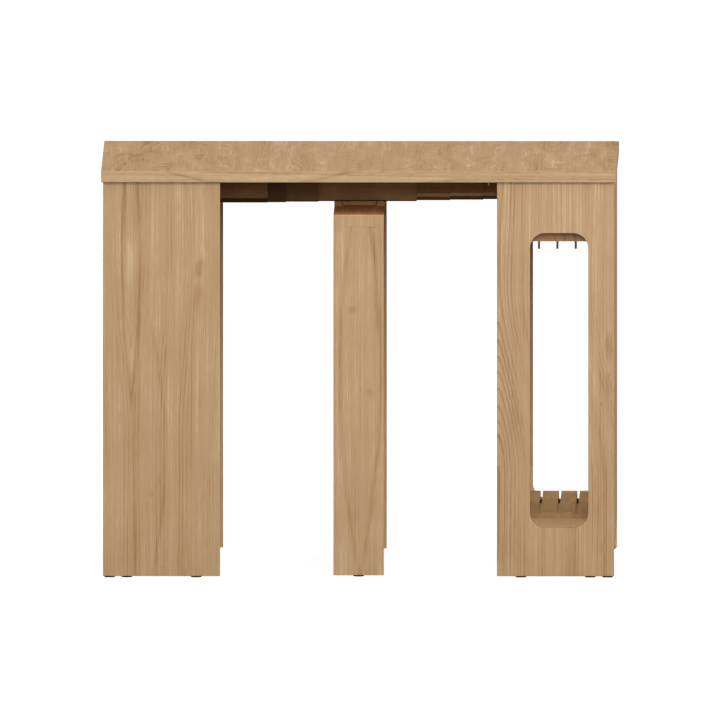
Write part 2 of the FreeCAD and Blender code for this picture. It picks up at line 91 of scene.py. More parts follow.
class Slot(Enum):
    """The record's material slots named for new pieces; nothing reads them."""

    PAD = "pad_plastic"
    STEEL = "steel"


class Element(Enum):
    """The parts of a mesh that can be picked."""

    EDGE = "edges"
    FACE = "faces"


def grey(level: float) -> tuple[float, float, float, float]:
    """An opaque grey."""
    return (level, level, level, 1.0)


# Shader sketching


class Sketch:
    """The shader nodes of one material or world, laid and linked in the order of reading."""

    def __init__(self, owner: Material | bpy.types.World, kind: str = "BSDF_PRINCIPLED") -> None:
        """Starts with the shader that a new material or world has.

        Args:
            owner: The material or world.
            kind: The shader's type.
        """
        owner.use_nodes = True
        self.owner = owner
        self.tree = owner.node_tree
        self.shader = next(node for node in self.tree.nodes if node.type == kind)

    def feed(self, socket: Socket, value: object) -> None:
        """Links a socket to another one, or sets its own value.

        Args:
            socket: The input to fill.
            value: A socket to link, or a plain value.
        """
        if isinstance(value, Socket):
            self.tree.links.new(value, socket)
        else:
            socket.default_value = value

    def node(self, kind: str, inputs: dict | None = None, **settings: object) -> bpy.types.Node:
        """Adds one node.

        Args:
            kind: The node's type without its common prefix.
            inputs: Values or sockets by input name or number.
            settings: The node's own options.

        Returns:
            The new node.
        """
        made = self.tree.nodes.new("ShaderNode" + kind)
        for name, value in settings.items():
            setattr(made, name, value)
        for key, value in (inputs or {}).items():
            self.feed(made.inputs[key], value)
        return made

    def maths(self, operation: str, first: Value, second: Value = 0.0) -> Socket:
        """The result of one sum, by its name, on two numbers."""
        return self.node("Math", {0: first, 1: second}, operation=operation).outputs[0]

    def times(self, first: Value, second: Value) -> Socket:
        """The product of two numbers."""
        return self.maths("MULTIPLY", first, second)

    def plus(self, first: Value, second: Value) -> Socket:
        """The sum of two numbers."""
        return self.maths("ADD", first, second)

    def minus(self, first: Value, second: Value) -> Socket:
        """The difference of two numbers."""
        return self.maths("SUBTRACT", first, second)

    def size(self, value: Value) -> Socket:
        """A number without its sign."""
        return self.maths("ABSOLUTE", value)

    def distance(self, first: Socket, second: Socket) -> Socket:
        """How far off a place is, from its distances along two axes."""
        return self.maths("SQRT", self.plus(self.times(first, first), self.times(second, second)))

    def vector(self, parts: tuple[Value, Value, Value]) -> Socket:
        """A vector of three numbers."""
        return self.node("CombineXYZ", dict(enumerate(parts))).outputs[0]

    def parts(self, vector: Socket) -> Places:
        """The three numbers of a vector."""
        return list(self.node("SeparateXYZ", {0: vector}).outputs)

    def stretched(self, parts: Places, scales: Triple, seed: float) -> Socket:
        """A vector with each part at its own scale, shifted to its own place in the noise."""
        scaled = [self.node("Math", {0: part, 1: scale, 2: seed}, operation="MULTIPLY_ADD").outputs[0]
                  for part, scale in zip(parts, scales)]
        return self.vector(tuple(scaled))

    def noise(self, vector: Socket, detail: float, roughness: float = HALF) -> bpy.types.Node:
        """A cloud noise in space, at one cell to the unit, with finer layers by its detail."""
        inputs = {"Vector": vector, "Scale": 1.0, "Detail": detail, "Roughness": roughness}
        return self.node("TexNoise", inputs)

    def cloud(self, places: Places, scales: Triple, seed: float, detail: float) -> Socket:
        """The strength of a cloud noise, with its cells to the metre on each axis."""
        return self.noise(self.stretched(places, scales, seed), detail).outputs["Fac"]

    def line_noise(self, place: Socket, detail: float) -> Socket:
        """A noise along a line, at one cell to the unit."""
        inputs = {"W": place, "Scale": 1.0, "Detail": detail}
        return self.node("TexNoise", inputs, noise_dimensions="1D").outputs["Fac"]

    def spread(self, value: Socket, span: Span, onto: Span = (0.0, 1.0)) -> Socket:
        """A number brought from one span smoothly onto another."""
        inputs = dict(enumerate((value, *span, *onto)))
        return self.node("MapRange", inputs, interpolation_type="SMOOTHSTEP").outputs[0]

    def choose(self, share: Socket, first: Socket, second: Socket) -> Socket:
        """One of two vectors, by a share of 0 or 1."""
        # A mix node keeps sockets for numbers, vectors and colours one after another.
        return self.node("Mix", {0: share, 4: first, 5: second}, data_type="VECTOR").outputs[1]

    def blend(self, share: Value, first: object, second: object, how: str = "MIX") -> Socket:
        """A mix of two colours, by the share of the second one."""
        made = self.node("Mix", {0: share, 6: first, 7: second}, data_type="RGBA", blend_type=how)
        return made.outputs[2]

    def ramp(self, share: Socket, stops: list[tuple[float, Colour]]) -> Socket:
        """A colour between named stops.

        Args:
            share: Where on the ramp.
            stops: Each stop's place and colour.

        Returns:
            The colour's socket.
        """
        made = self.node("ValToRGB", {0: share})
        made.color_ramp.interpolation = "EASE"
        while len(made.color_ramp.elements) < len(stops):
            made.color_ramp.elements.new(1.0)
        for element, (place, colour) in zip(made.color_ramp.elements, stops):
            element.position = place
            element.color = (*colour, 1.0)
        return made.outputs[0]

    def bump(self, height: Socket, strength: float, distance: float) -> Socket:
        """A fine relief, with the real height of a full step in metres."""
        inputs = {"Strength": strength, "Distance": distance, "Height": height}
        return self.node("Bump", inputs).outputs[0]

    def finished(self, inputs: dict[str, object]) -> Material | bpy.types.World:
        """The material or world with its shader's inputs filled.

        Args:
            inputs: Values or sockets by input name.

        Returns:
            The material or world.
        """
        for name, value in inputs.items():
            self.feed(self.shader.inputs[name], value)
        return self.owner


# Finishes


@dataclass(frozen=True)
class Lay:
    """How wood lies in a board, or in the lipping on its edges.

    The heart is where the middle of the log passes, in metres on the axis across the grain. The pace is
    how fast the figure changes along the grain.
    """

    along: Axis
    across: Axis
    through: Axis
    heart: float = 0.0
    pace: float = 1.0


@dataclass(frozen=True)
class Log:
    """The log that a board was cut from: how deep its heart lies, how that changes, and its own place.

    The rise is how far the rings spread over the crown, a span along the grain in metres. The fade is how
    much darker a board's foot is than its head, in tone to the metre. The heart's share is how much
    stronger the lines near it are.
    """

    depth: float
    taper: float
    seed: float
    rise: float = 0.0
    crown: Span = (0.0, 1.0)
    # Painted shade: the board darker towards its foot by this much.
    fade: float = 0.0
    heart_share: float = 0.0

    def moved(self, step: float) -> "Log":
        """A log like this one, at another place in the noise."""
        return replace(self, seed=self.seed + step)


@dataclass(frozen=True)
class Cloud:
    """One layer of soft variation in a wood, with its cells to the metre on the grain's three axes."""

    scale: Triple
    detail: float
    share: float


@dataclass(frozen=True)
class StainAndShade:
    """A knot, a gum mark or a patch of painted shade in a board's face, with its place and half-sizes in
    metres.
    """

    along: float
    across: float
    length: float
    width: float
    share: float


@dataclass(frozen=True)
class Vein:
    """A line of darker or paler growth that bows over a board's face, with its sizes in metres.

    A mirrored one runs on both sides of the heart, and its place across the grain is measured from there.
    """

    along: float
    across: float
    bow: float
    reach: float
    width: float
    share: float
    mirrored: bool = False


@dataclass(frozen=True)
class PaintedLight:
    """Painted light or shade: a change of colour on the faces that look one way along an axis."""

    axis: Axis
    sign: int
    colour: Colour


@dataclass(frozen=True)
class WoodFinish:
    """A lacquered or oiled wood, from its palest to its darkest tone, and how its figure shows.

    Scales are cells of noise to the metre along, across and through the grain. Paces are cells to one
    growth ring, and the vein's is to the metre. Shares are strengths.
    """

    name: str
    pale: Colour
    middle: Colour
    dark: Colour
    ring_pitch: float
    swirl: float
    band_share: float
    line_share: float
    clouds: tuple[Cloud, ...]
    speck_share: float
    roughness: Span
    gloss: float
    relief: float
    # Painted light and shade: faces made lighter or darker by the way they look.
    painted_lights: tuple[PaintedLight, ...] = ()
    # The tone of knots and gum marks, and of patches of painted shade.
    stain_and_shade_tone: Colour = (0.74, 0.60, 0.38)
    stain_and_shade_edge: Span = (0.45, 1.25)
    stain_and_shade_scale: Triple = (60.0, 90.0, 0.0)
    stain_and_shade_ragged: float = 0.9
    stain_and_shade_detail: float = 2.0
    relief_height: float = 0.25 * MM
    swirl_scale: Triple = (1.7, 10.0, 10.0)
    wander_scale: Triple = (1.2, 4.0, 4.0)
    wander: float = 14.0 * MM
    zigzag_scale: Triple = (5.0, 3.0, 3.0)
    zigzag: float = 0.0
    pore_scale: Triple = (45.0, 1500.0, 1500.0)
    speck_scale: Triple = (2.4, 7.5, 0.0)
    speck_span: Span = (0.003, 0.010)
    speck_tone: Colour = (0.55, 0.44, 0.34)
    line_power: float = 5.0
    line_mean: float = 0.07
    group_pace: float = 0.31
    group_span: Span = (0.36, 0.68)
    band_pace: float = 0.41
    band_detail: float = 2.0
    uneven_pace: float = 0.27
    uneven_rings: float = 1.6
    edge_turn: float = 0.7
    # The height in metres where the painted shade's falloff is centred.
    shade_falloff_level: float = 0.45
    vein_pace: float = 9.0
    vein_sway: float = 8.0 * MM
    vein_end_share: float = 0.55
    heart_span: Span = (12.0 * MM, 52.0 * MM)
    rough_span: Span = (0.2, 0.8)

    def shaded(self, share: float) -> "WoodFinish":
        """The same finish with its tones at a share of their brightness."""
        tones = (self.pale, self.middle, self.dark)
        pale, middle, dark = (tuple(part * share for part in tone) for tone in tones)
        return replace(self, pale=pale, middle=middle, dark=dark)

    def grain(self, sketch: Sketch, lay: Lay, lippings: dict[Axis, Lay]) -> Places:
        """Places along, across and through the grain, in metres from the log's heart.

        Args:
            sketch: The material's nodes.
            lay: How the board's faces lie.
            lippings: How the edges lie that look along an axis.

        Returns:
            The three places.
        """
        places = sketch.parts(sketch.node("TexCoord").outputs["Object"])

        def laid(way: Lay) -> Socket:
            """The places in one lay, as a vector."""
            along = sketch.times(places[way.along.value], way.pace)
            across = sketch.minus(places[way.across.value], way.heart)
            return sketch.vector((along, across, places[way.through.value]))

        vector = laid(lay)
        if lippings:
            turns = sketch.parts(sketch.node("NewGeometry").outputs["Normal"])
            for axis, way in lippings.items():
                facing = sketch.size(turns[axis.value])
                turned = sketch.maths("GREATER_THAN", facing, self.edge_turn)
                vector = sketch.choose(turned, vector, laid(way))
        return sketch.parts(vector)

    def rings(self, sketch: Sketch, grain: Places, log: Log) -> Socket:
        """How many growth rings lie between the log's heart and each place.

        Args:
            sketch: The material's nodes.
            grain: Places along, across and through the grain.
            log: The log.

        Returns:
            The count's socket.
        """
        along, across, through = grain
        wander = sketch.noise(sketch.stretched(grain, self.wander_scale, log.seed), 1.0).outputs["Color"]
        sway = [sketch.times(sketch.minus(part, HALF), self.wander) for part in sketch.parts(wander)]
        side = sketch.plus(across, sway[0])
        depth = sketch.plus(sketch.plus(sketch.times(along, log.taper), log.depth), sway[1])
        radius = sketch.distance(side, depth)
        if log.rise:
            radius = sketch.plus(radius, sketch.spread(along, log.crown, (0.0, log.rise)))
        if self.zigzag:
            wave = sketch.cloud(grain, self.zigzag_scale, log.seed, 0.0)
            shift = sketch.times(sketch.minus(wave, HALF), self.zigzag)
            grain = [along, sketch.plus(across, shift), through]
        swirl = sketch.cloud(grain, self.swirl_scale, log.seed + 1.0, 1.0)
        count = sketch.plus(sketch.times(radius, 1.0 / self.ring_pitch), sketch.times(swirl, self.swirl))
        uneven = sketch.line_noise(sketch.times(count, self.uneven_pace), 1.0)
        return sketch.plus(count, sketch.times(uneven, self.uneven_rings))

    def tone(self, sketch: Sketch, grain: Places, log: Log) -> Socket:
        """How dark the wood is at each place, around a half.

        Args:
            sketch: The material's nodes.
            grain: Places along, across and through the grain.
            log: The log.

        Returns:
            The tone's socket.
        """
        rings = self.rings(sketch, grain, log)
        band = sketch.line_noise(sketch.times(rings, self.band_pace), self.band_detail)
        group = sketch.line_noise(sketch.plus(sketch.times(rings, self.group_pace), log.seed), 0.0)
        line = sketch.maths("POWER", sketch.maths("FRACT", rings), self.line_power)
        strength = sketch.spread(group, self.group_span)
        if log.heart_share:
            near = sketch.spread(sketch.size(grain[1]), self.heart_span, (log.heart_share, 0.0))
            strength = sketch.plus(strength, near)
        line = sketch.times(line, strength)
        layers = [(band, HALF, self.band_share), (line, self.line_mean, self.line_share)]
        for number, cloud in enumerate(self.clouds):
            layer = sketch.cloud(grain, cloud.scale, log.seed + number, cloud.detail)
            layers.append((layer, HALF, cloud.share))
        # Painted shade: darker towards the board's foot, lighter at its head.
        tone = sketch.plus(sketch.times(grain[0], -log.fade), HALF + log.fade * self.shade_falloff_level)
        for layer, mean, share in layers:
            tone = sketch.plus(sketch.times(sketch.minus(layer, mean), share), tone)
        return tone

    def stained_and_shaded(self, sketch: Sketch, grain: Places, heart: float, colour: Socket, stain: StainAndShade) -> Socket:
        """The wood's colour with one knot, gum mark or patch of painted shade in it.

        Args:
            sketch: The material's nodes.
            grain: Places along, across and through the grain.
            heart: Where the heart lies across the board.
            colour: The colour without it.
            stain: The knot, gum mark or patch of painted shade.

        Returns:
            The colour's socket.
        """
        along = sketch.times(sketch.minus(grain[0], stain.along), 1.0 / stain.length)
        across = sketch.times(sketch.minus(grain[1], stain.across - heart), 1.0 / stain.width)
        ragged = sketch.cloud(grain, self.stain_and_shade_scale, stain.along, self.stain_and_shade_detail)
        ragged = sketch.times(sketch.minus(ragged, HALF), self.stain_and_shade_ragged)
        reach = sketch.plus(sketch.distance(along, across), ragged)
        share = sketch.spread(reach, self.stain_and_shade_edge, (stain.share, 0.0))
        return sketch.blend(share, colour, (*self.stain_and_shade_tone, 1.0), "MULTIPLY")

    def veined(self, sketch: Sketch, grain: Places, heart: float, tone: Socket, vein: Vein) -> Socket:
        """The wood's tone with one vein in it.

        Args:
            sketch: The material's nodes.
            grain: Places along, across and through the grain.
            heart: Where the heart lies across the board.
            tone: The tone without it.
            vein: The vein.

        Returns:
            The tone's socket.
        """
        level = sketch.minus(grain[0], vein.along)
        sway = sketch.line_noise(sketch.plus(sketch.times(grain[0], self.vein_pace), vein.across), 1.0)
        sway = sketch.times(sketch.minus(sway, HALF), self.vein_sway)
        place = vein.across if vein.mirrored else vein.across - heart
        side = sketch.size(grain[1]) if vein.mirrored else sketch.plus(grain[1], sway)
        path = sketch.plus(sketch.times(sketch.times(level, level), vein.bow), place)
        offset = sketch.size(sketch.minus(side, path))
        ends = (vein.reach * self.vein_end_share, vein.reach)
        share = sketch.spread(sketch.size(level), ends, (vein.share, 0.0))
        return sketch.plus(tone, sketch.times(sketch.spread(offset, (0.0, vein.width), (1.0, 0.0)), share))

    def faced(self, sketch: Sketch, colour: Socket, painted_light: PaintedLight) -> Socket:
        """The wood's colour with one painted light or shade on the faces that look its way.

        Args:
            sketch: The material's nodes.
            colour: The colour without it.
            painted_light: The painted light or shade.

        Returns:
            The colour's socket.
        """
        turns = sketch.parts(sketch.node("NewGeometry").outputs["Normal"])
        facing = sketch.times(turns[painted_light.axis.value], float(painted_light.sign))
        facing = sketch.maths("GREATER_THAN", facing, 1.0 - self.edge_turn)
        return sketch.blend(facing, colour, (*painted_light.colour, 1.0), "MULTIPLY")

    def material(self, name: str, lay: Lay, log: Log, lippings: dict[Axis, Lay] | None = None,
                 stains: tuple[StainAndShade, ...] = (), veins: tuple[Vein, ...] = ()) -> Material:
        """The wood of one board.

        Args:
            name: The board's name.
            lay: How its faces lie.
            log: The log that it was cut from.
            lippings: How the edges lie that look along an axis.
            stains: Knots, gum marks and patches of painted shade in its face.
            veins: Darker and paler lines in its face.

        Returns:
            The finished material.
        """
        sketch = Sketch(bpy.data.materials.new(f"{self.name}_{name}"))
        grain = self.grain(sketch, lay, lippings or {})
        tone = self.tone(sketch, grain, log)
        for vein in veins:
            tone = self.veined(sketch, grain, lay.heart, tone, vein)
        colour = sketch.ramp(tone, [(0.0, self.pale), (HALF, self.middle), (1.0, self.dark)])
        speck_place = sketch.stretched(grain, self.speck_scale, log.seed)
        speck = sketch.node("TexVoronoi", {"Vector": speck_place, "Scale": 1.0}, voronoi_dimensions="2D")
        spot = sketch.spread(speck.outputs["Distance"], self.speck_span, (self.speck_share, 0.0))
        colour = sketch.blend(spot, colour, (*self.speck_tone, 1.0), "MULTIPLY")
        for stain in stains:
            colour = self.stained_and_shaded(sketch, grain, lay.heart, colour, stain)
        # Painted light and shade on the faces that look one way.
        for painted_light in self.painted_lights:
            colour = self.faced(sketch, colour, painted_light)
        pore = sketch.cloud(grain, self.pore_scale, log.seed, 1.0)
        return sketch.finished({
            "Base Color": colour,
            "Roughness": sketch.spread(tone, self.rough_span, self.roughness),
            "Specular IOR Level": self.gloss,
            "Normal": sketch.bump(sketch.plus(tone, pore), self.relief, self.relief_height),
        })


@dataclass(frozen=True)
class PlasticFinish:
    """A matt moulded plastic or felt with a fine mottle."""

    name: str
    dark: Colour
    pale: Colour
    roughness: Span
    mottle_scale: float
    relief: float
    gloss: float
    relief_height: float = 0.15 * MM
    mottle_detail: float = 4.0
    mottle_rough: float = 0.65
    tone_span: Span = (0.25, 0.75)
    rough_span: Span = (0.3, 0.7)

    def material(self) -> Material:
        """The finished material."""
        sketch = Sketch(bpy.data.materials.new(self.name))
        places = sketch.parts(sketch.node("TexCoord").outputs["Object"])
        place = sketch.stretched(places, (self.mottle_scale,) * len(places), 0.0)
        mottle = sketch.noise(place, self.mottle_detail, self.mottle_rough).outputs["Fac"]
        return sketch.finished({
            "Base Color": sketch.ramp(mottle, list(zip(self.tone_span, (self.dark, self.pale)))),
            "Roughness": sketch.spread(mottle, self.rough_span, self.roughness),
            "Specular IOR Level": self.gloss,
            "Normal": sketch.bump(mottle, self.relief, self.relief_height),
        })


@dataclass(frozen=True)
class SteelFinish:
    """Yellow-passivated, zinc-plated steel with a faint spangle and drawn lines."""

    name: str
    dark: Colour
    pale: Colour
    roughness: Span
    spangle_scale: float = 260.0
    drawn_scale: Triple = (60.0, 2600.0, 2600.0)
    drawn_detail: float = 2.0
    relief: float = 0.12
    relief_height: float = 0.1 * MM
    tone_span: Span = (0.2, 0.8)
    rough_span: Span = (0.3, 0.7)

    def material(self) -> Material:
        """The finished material."""
        sketch = Sketch(bpy.data.materials.new(self.name))
        place = sketch.node("TexCoord").outputs["Object"]
        spangle = sketch.node("TexVoronoi", {"Vector": place, "Scale": self.spangle_scale}).outputs["Color"]
        drawn = sketch.cloud(sketch.parts(place), self.drawn_scale, 0.0, self.drawn_detail)
        tone = sketch.times(sketch.plus(sketch.parts(spangle)[0], drawn), HALF)
        return sketch.finished({
            "Base Color": sketch.ramp(tone, list(zip(self.tone_span, (self.dark, self.pale)))),
            "Roughness": sketch.spread(drawn, self.rough_span, self.roughness),
            "Metallic": 1.0,
            "Normal": sketch.bump(drawn, self.relief, self.relief_height),
        })


LIGHT_WOOD = WoodFinish(
    name="light_wood",
    pale=(0.640, 0.470, 0.288),
    middle=(0.474, 0.310, 0.165),
    dark=(0.330, 0.186, 0.078),
    ring_pitch=6.5 * MM,
    swirl=3.5,
    band_share=0.36,
    line_share=0.34,
    clouds=(
        Cloud((3.0, 560.0, 560.0), 2.0, 0.90),
        Cloud((1.5, 130.0, 130.0), 2.0, 0.28),
        Cloud((0.9, 45.0, 45.0), 1.0, 0.34),
        Cloud((9.0, 16.0, 16.0), 3.0, 0.46),
        Cloud((40.0, 480.0, 480.0), 2.0, 0.42),
    ),
    speck_share=0.5,
    roughness=(0.50, 0.62),
    gloss=0.03,
    relief=0.10,
)
# Painted light: the inner faces of the rear panels, the right front panel and the rack side, which lie in
# shade, made paler.
REAR_WOOD = replace(LIGHT_WOOD, name="rear_wood", painted_lights=(PaintedLight(Axis.Y, -1, (1.50, 1.47, 1.42)),))
SHELL_WOOD = replace(LIGHT_WOOD, name="shell_wood", painted_lights=(PaintedLight(Axis.Y, 1, (1.80, 1.95, 2.10)),))
RACK_SIDE_WOOD = replace(LIGHT_WOOD, name="rack_side_wood", painted_lights=(PaintedLight(Axis.Y, -1, (1.95, 2.00, 2.00)),))
CAP_WOOD = replace(
    # Painted light on the faces that look up, which lie in shade under the guides.
    LIGHT_WOOD, name="cap_wood", painted_lights=(PaintedLight(Axis.Z, 1, (1.95, 1.56, 1.17)),),
    # This tone paints shade back onto the lit front end of the board.
    stain_and_shade_tone=(0.72, 0.70, 0.68), stain_and_shade_ragged=0.1,
)
TOP_WOOD = WoodFinish(
    name="top_wood",
    pale=(0.640, 0.466, 0.284),
    middle=(0.474, 0.310, 0.163),
    dark=(0.335, 0.190, 0.080),
    ring_pitch=55.0 * MM,
    swirl=30.0,
    zigzag=42.0 * MM,
    band_share=0.80,
    line_share=0.34,
    clouds=(
        Cloud((2.0, 380.0, 380.0), 2.0, 0.58),
        Cloud((3.0, 60.0, 60.0), 2.0, 0.55),
        Cloud((1.0, 12.0, 12.0), 2.0, 0.40),
        Cloud((130.0, 300.0, 300.0), 1.0, 0.45),
        Cloud((20.0, 24.0, 0.0), 2.0, 0.25),
    ),
    speck_share=0.3,
    roughness=(0.66, 0.78),
    gloss=0.01,
    relief=0.08,
    swirl_scale=(0.9, 14.0, 14.0),
    line_power=2.0,
    line_mean=0.16,
    band_pace=0.26,
    group_pace=0.16,
    # Painted light on the front edges and painted shade on the top face.
    painted_lights=(PaintedLight(Axis.Y, -1, (1.056, 1.09, 1.14)), PaintedLight(Axis.Z, 1, (0.955, 0.94, 0.92))),
)
GUIDE_WOOD = WoodFinish(
    name="guide_wood",
    pale=(0.275, 0.142, 0.059),
    middle=(0.200, 0.097, 0.038),
    dark=(0.124, 0.053, 0.019),
    ring_pitch=9.0 * MM,
    swirl=6.0,
    band_share=0.50,
    line_share=0.20,
    clouds=(
        Cloud((5.0, 300.0, 300.0), 2.0, 0.45),
        Cloud((14.0, 30.0, 30.0), 2.0, 1.30),
    ),
    speck_share=0.4,
    roughness=(0.55, 0.70),
    gloss=0.06,
    relief=0.15,
    # Painted light on the faces that look up and painted shade on the faces that look down.
    painted_lights=(PaintedLight(Axis.Z, 1, (2.80, 3.40, 4.50)), PaintedLight(Axis.Z, -1, (0.32, 0.30, 0.28))),
)
# A paler copy of the guide wood, as painted light on the right beams.
RIGHT_GUIDE_WOOD = replace(
    GUIDE_WOOD, name="right_guide_wood",
    pale=(0.360, 0.186, 0.077), middle=(0.262, 0.127, 0.050), dark=(0.162, 0.069, 0.025),
    # This dark tone is the painted shade on the beams' lower lip.
    stain_and_shade_tone=(0.58, 0.58, 0.58), stain_and_shade_ragged=0.1,
)
# A paler copy of the guide wood, as painted light on the fixed beams.
FIXED_GUIDE_WOOD = replace(
    GUIDE_WOOD, name="fixed_guide_wood",
    pale=(0.460, 0.253, 0.115), middle=(0.357, 0.187, 0.078), dark=(0.236, 0.112, 0.043),
    # Painted light on the faces that look up and painted shade on the faces that look down.
    painted_lights=(PaintedLight(Axis.Z, 1, (1.60, 1.80, 2.20)), PaintedLight(Axis.Z, -1, (0.32, 0.30, 0.28))),
)
SADDLE_WOOD = WoodFinish(
    name="saddle_wood",
    pale=(0.590, 0.328, 0.144),
    middle=(0.490, 0.245, 0.094),
    dark=(0.368, 0.164, 0.058),
    ring_pitch=9.0 * MM,
    swirl=5.0,
    band_share=0.50,
    line_share=0.25,
    clouds=(Cloud((3.0, 200.0, 200.0), 2.0, 0.50),),
    speck_share=0.3,
    roughness=(0.60, 0.74),
    gloss=0.03,
    relief=0.12,
)
RACK_WOOD = WoodFinish(
    name="rack_wood",
    pale=(0.640, 0.425, 0.235),
    middle=(0.500, 0.310, 0.155),
    dark=(0.340, 0.180, 0.072),
    ring_pitch=30.0 * MM,
    swirl=14.0,
    band_share=0.60,
    line_share=0.35,
    clouds=(
        Cloud((1.5, 420.0, 420.0), 2.0, 0.50),
        Cloud((2.0, 100.0, 100.0), 2.0, 0.40),
        Cloud((4.0, 14.0, 14.0), 2.0, 0.40),
    ),
    speck_share=0.3,
    roughness=(0.68, 0.80),
    gloss=0.02,
    relief=0.12,
)
SLAT_WOOD = replace(
    RACK_WOOD, name="slat_wood",
    pale=(0.780, 0.500, 0.255), middle=(0.620, 0.375, 0.168), dark=(0.440, 0.240, 0.092),
)
# A darker copy of the rack wood, as painted shade on the comb's front, with painted light on its top faces.
COMB_WOOD = replace(
    RACK_WOOD, name="comb_wood",
    pale=(0.467, 0.310, 0.172), middle=(0.365, 0.226, 0.113), dark=(0.248, 0.131, 0.053),
    painted_lights=(PaintedLight(Axis.Z, 1, (1.70, 1.66, 1.49)),),
)
# A paler copy of the rack wood, as painted light on the floor board inside the leg; its dark tone paints
# shade under the slats.
SILL_WOOD = replace(
    RACK_WOOD, name="sill_wood",
    pale=(0.950, 0.680, 0.400), middle=(0.840, 0.545, 0.290), dark=(0.680, 0.400, 0.180),
    stain_and_shade_tone=(0.10, 0.08, 0.06), stain_and_shade_edge=(0.80, 1.20), stain_and_shade_ragged=0.1,
)
HEAD_WOOD = replace(
    RACK_WOOD, name="head_wood",
    pale=(0.490, 0.300, 0.156), middle=(0.358, 0.204, 0.096), dark=(0.235, 0.118, 0.047),
)
FIN_WOOD = replace(
    SADDLE_WOOD, name="fin_wood",
    pale=(0.150, 0.090, 0.050), middle=(0.095, 0.052, 0.028), dark=(0.056, 0.028, 0.014),
    clouds=(Cloud((5.0, 300.0, 300.0), 2.0, 0.60),),
    speck_share=0.0, roughness=(0.60, 0.75), gloss=0.05, relief=0.15,
)
BATTEN_WOOD = WoodFinish(
    name="batten_wood",
    pale=(0.600, 0.440, 0.280),
    middle=(0.500, 0.350, 0.205),
    dark=(0.380, 0.245, 0.130),
    ring_pitch=5.0 * MM,
    swirl=2.0,
    band_share=0.70,
    line_share=0.40,
    clouds=(
        Cloud((6.0, 420.0, 420.0), 3.0, 0.80),
        Cloud((2.2, 6.0, 6.0), 2.0, 0.30),
    ),
    speck_share=0.4,
    roughness=(0.60, 0.78),
    gloss=0.15,
    relief=0.35,
)
KEY_NYLON = PlasticFinish(
    name="key_nylon", dark=(0.62, 0.60, 0.53), pale=(0.74, 0.72, 0.66),
    roughness=(0.34, 0.46), mottle_scale=380.0, relief=0.06, gloss=0.5,
)
PAD_FELT = PlasticFinish(
    name="pad_felt", dark=(0.010, 0.006, 0.003), pale=(0.034, 0.020, 0.011),
    roughness=(0.78, 0.95), mottle_scale=1400.0, relief=0.55, gloss=0.05,
)
ZINC = SteelFinish(
    name="zinc_steel", dark=(0.46, 0.31, 0.17), pale=(0.70, 0.49, 0.28), roughness=(0.34, 0.50),
)


def dress(node: str, material: Material) -> None:
    """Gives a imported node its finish.

    Args:
        node: The node's name.
        material: The finish.
    """
    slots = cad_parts[node].data.materials
    slots.clear()
    slots.append(material)
    LOG.info("dressed %s in %s", node, material.name)


def dress_board(node: str, finish: WoodFinish, lay: Lay, log: Log, **marks: object) -> None:
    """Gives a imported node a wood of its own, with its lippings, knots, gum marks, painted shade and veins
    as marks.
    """
    dress(node, finish.material(node, lay, log, **marks))


# Modelling by hand


def deselect() -> None:
    """Leaves nothing selected."""
    if bpy.context.object and bpy.context.object.mode != "OBJECT":
        bpy.ops.object.mode_set(mode="OBJECT")
    bpy.ops.object.select_all(action="DESELECT")


def select(pieces: list[Piece]) -> None:
    """Selects just these pieces, the first one as the active one."""
    deselect()
    for piece in pieces:
        piece.select_set(True)
    bpy.context.view_layer.objects.active = pieces[0]


@contextmanager
def editing(piece: Piece) -> Iterator[None]:
    """Edit mode on one piece, with nothing of its mesh selected at the start."""
    select([piece])
    bpy.ops.object.mode_set(mode="EDIT")
    bpy.ops.mesh.select_all(action="DESELECT")
    yield
    bpy.ops.object.mode_set(mode="OBJECT")


def pick(piece: Piece, kind: Element, wanted: Wanted) -> None:
    """Selects the wanted parts of a mesh in edit mode.

    Args:
        piece: The piece that is being edited.
        kind: Whether its edges or its faces are picked.
        wanted: Says which ones.
    """
    bpy.ops.mesh.select_mode(type=kind.name)
    bpy.ops.mesh.select_all(action="DESELECT")
    mesh = bmesh.from_edit_mesh(piece.data)
    for element in getattr(mesh, kind.value):
        element.select_set(wanted(element))
    bmesh.update_edit_mesh(piece.data)


def ends(edge: bmesh.types.BMEdge, axis: Axis = Axis.Z) -> list[float]:
    """Where an edge's two ends are along an axis."""
    return [vertex.co[axis.value] for vertex in edge.verts]


def round_edges(piece: Piece, wanted: Wanted, radius: float, steps: int) -> None:
    """Rounds a piece's wanted edges in edit mode, in so many steps."""
    pick(piece, Element.EDGE, wanted)
    bpy.ops.mesh.bevel(offset=radius, segments=steps, affect="EDGES")


def turned_bar(name: str, sides: int, radius: float, start: Vector, end: Vector) -> Piece:
    """A round bar between two points.

    Args:
        name: The bar's name.
        sides: How many flats its round has.
        radius: Its radius.
        start: The middle of one end.
        end: The middle of the other end.

    Returns:
        The bar, with its place in its mesh.
    """
    deselect()
    run = end - start
    bpy.ops.mesh.primitive_cylinder_add(
        vertices=sides, radius=radius, depth=run.length, location=(start + end) / 2,
        rotation=run.to_track_quat("Z", "Y").to_euler())
    return settled(name)


def squared_block(name: str, low: Vector, high: Vector) -> Piece:
    """A block between two corners.

    Args:
        name: The block's name.
        low: Its lowest corner.
        high: Its highest corner.

    Returns:
        The block, with its place in its mesh.
    """
    deselect()
    bpy.ops.mesh.primitive_cube_add(size=1.0, location=(low + high) / 2, scale=high - low)
    return settled(name)


def settled(name: str) -> Piece:
    """Names the new piece and puts its place into its mesh."""
    piece = bpy.context.object
    piece.name = name
    piece.data.name = name
    bpy.ops.object.transform_apply(location=True, rotation=True, scale=True)
    return piece


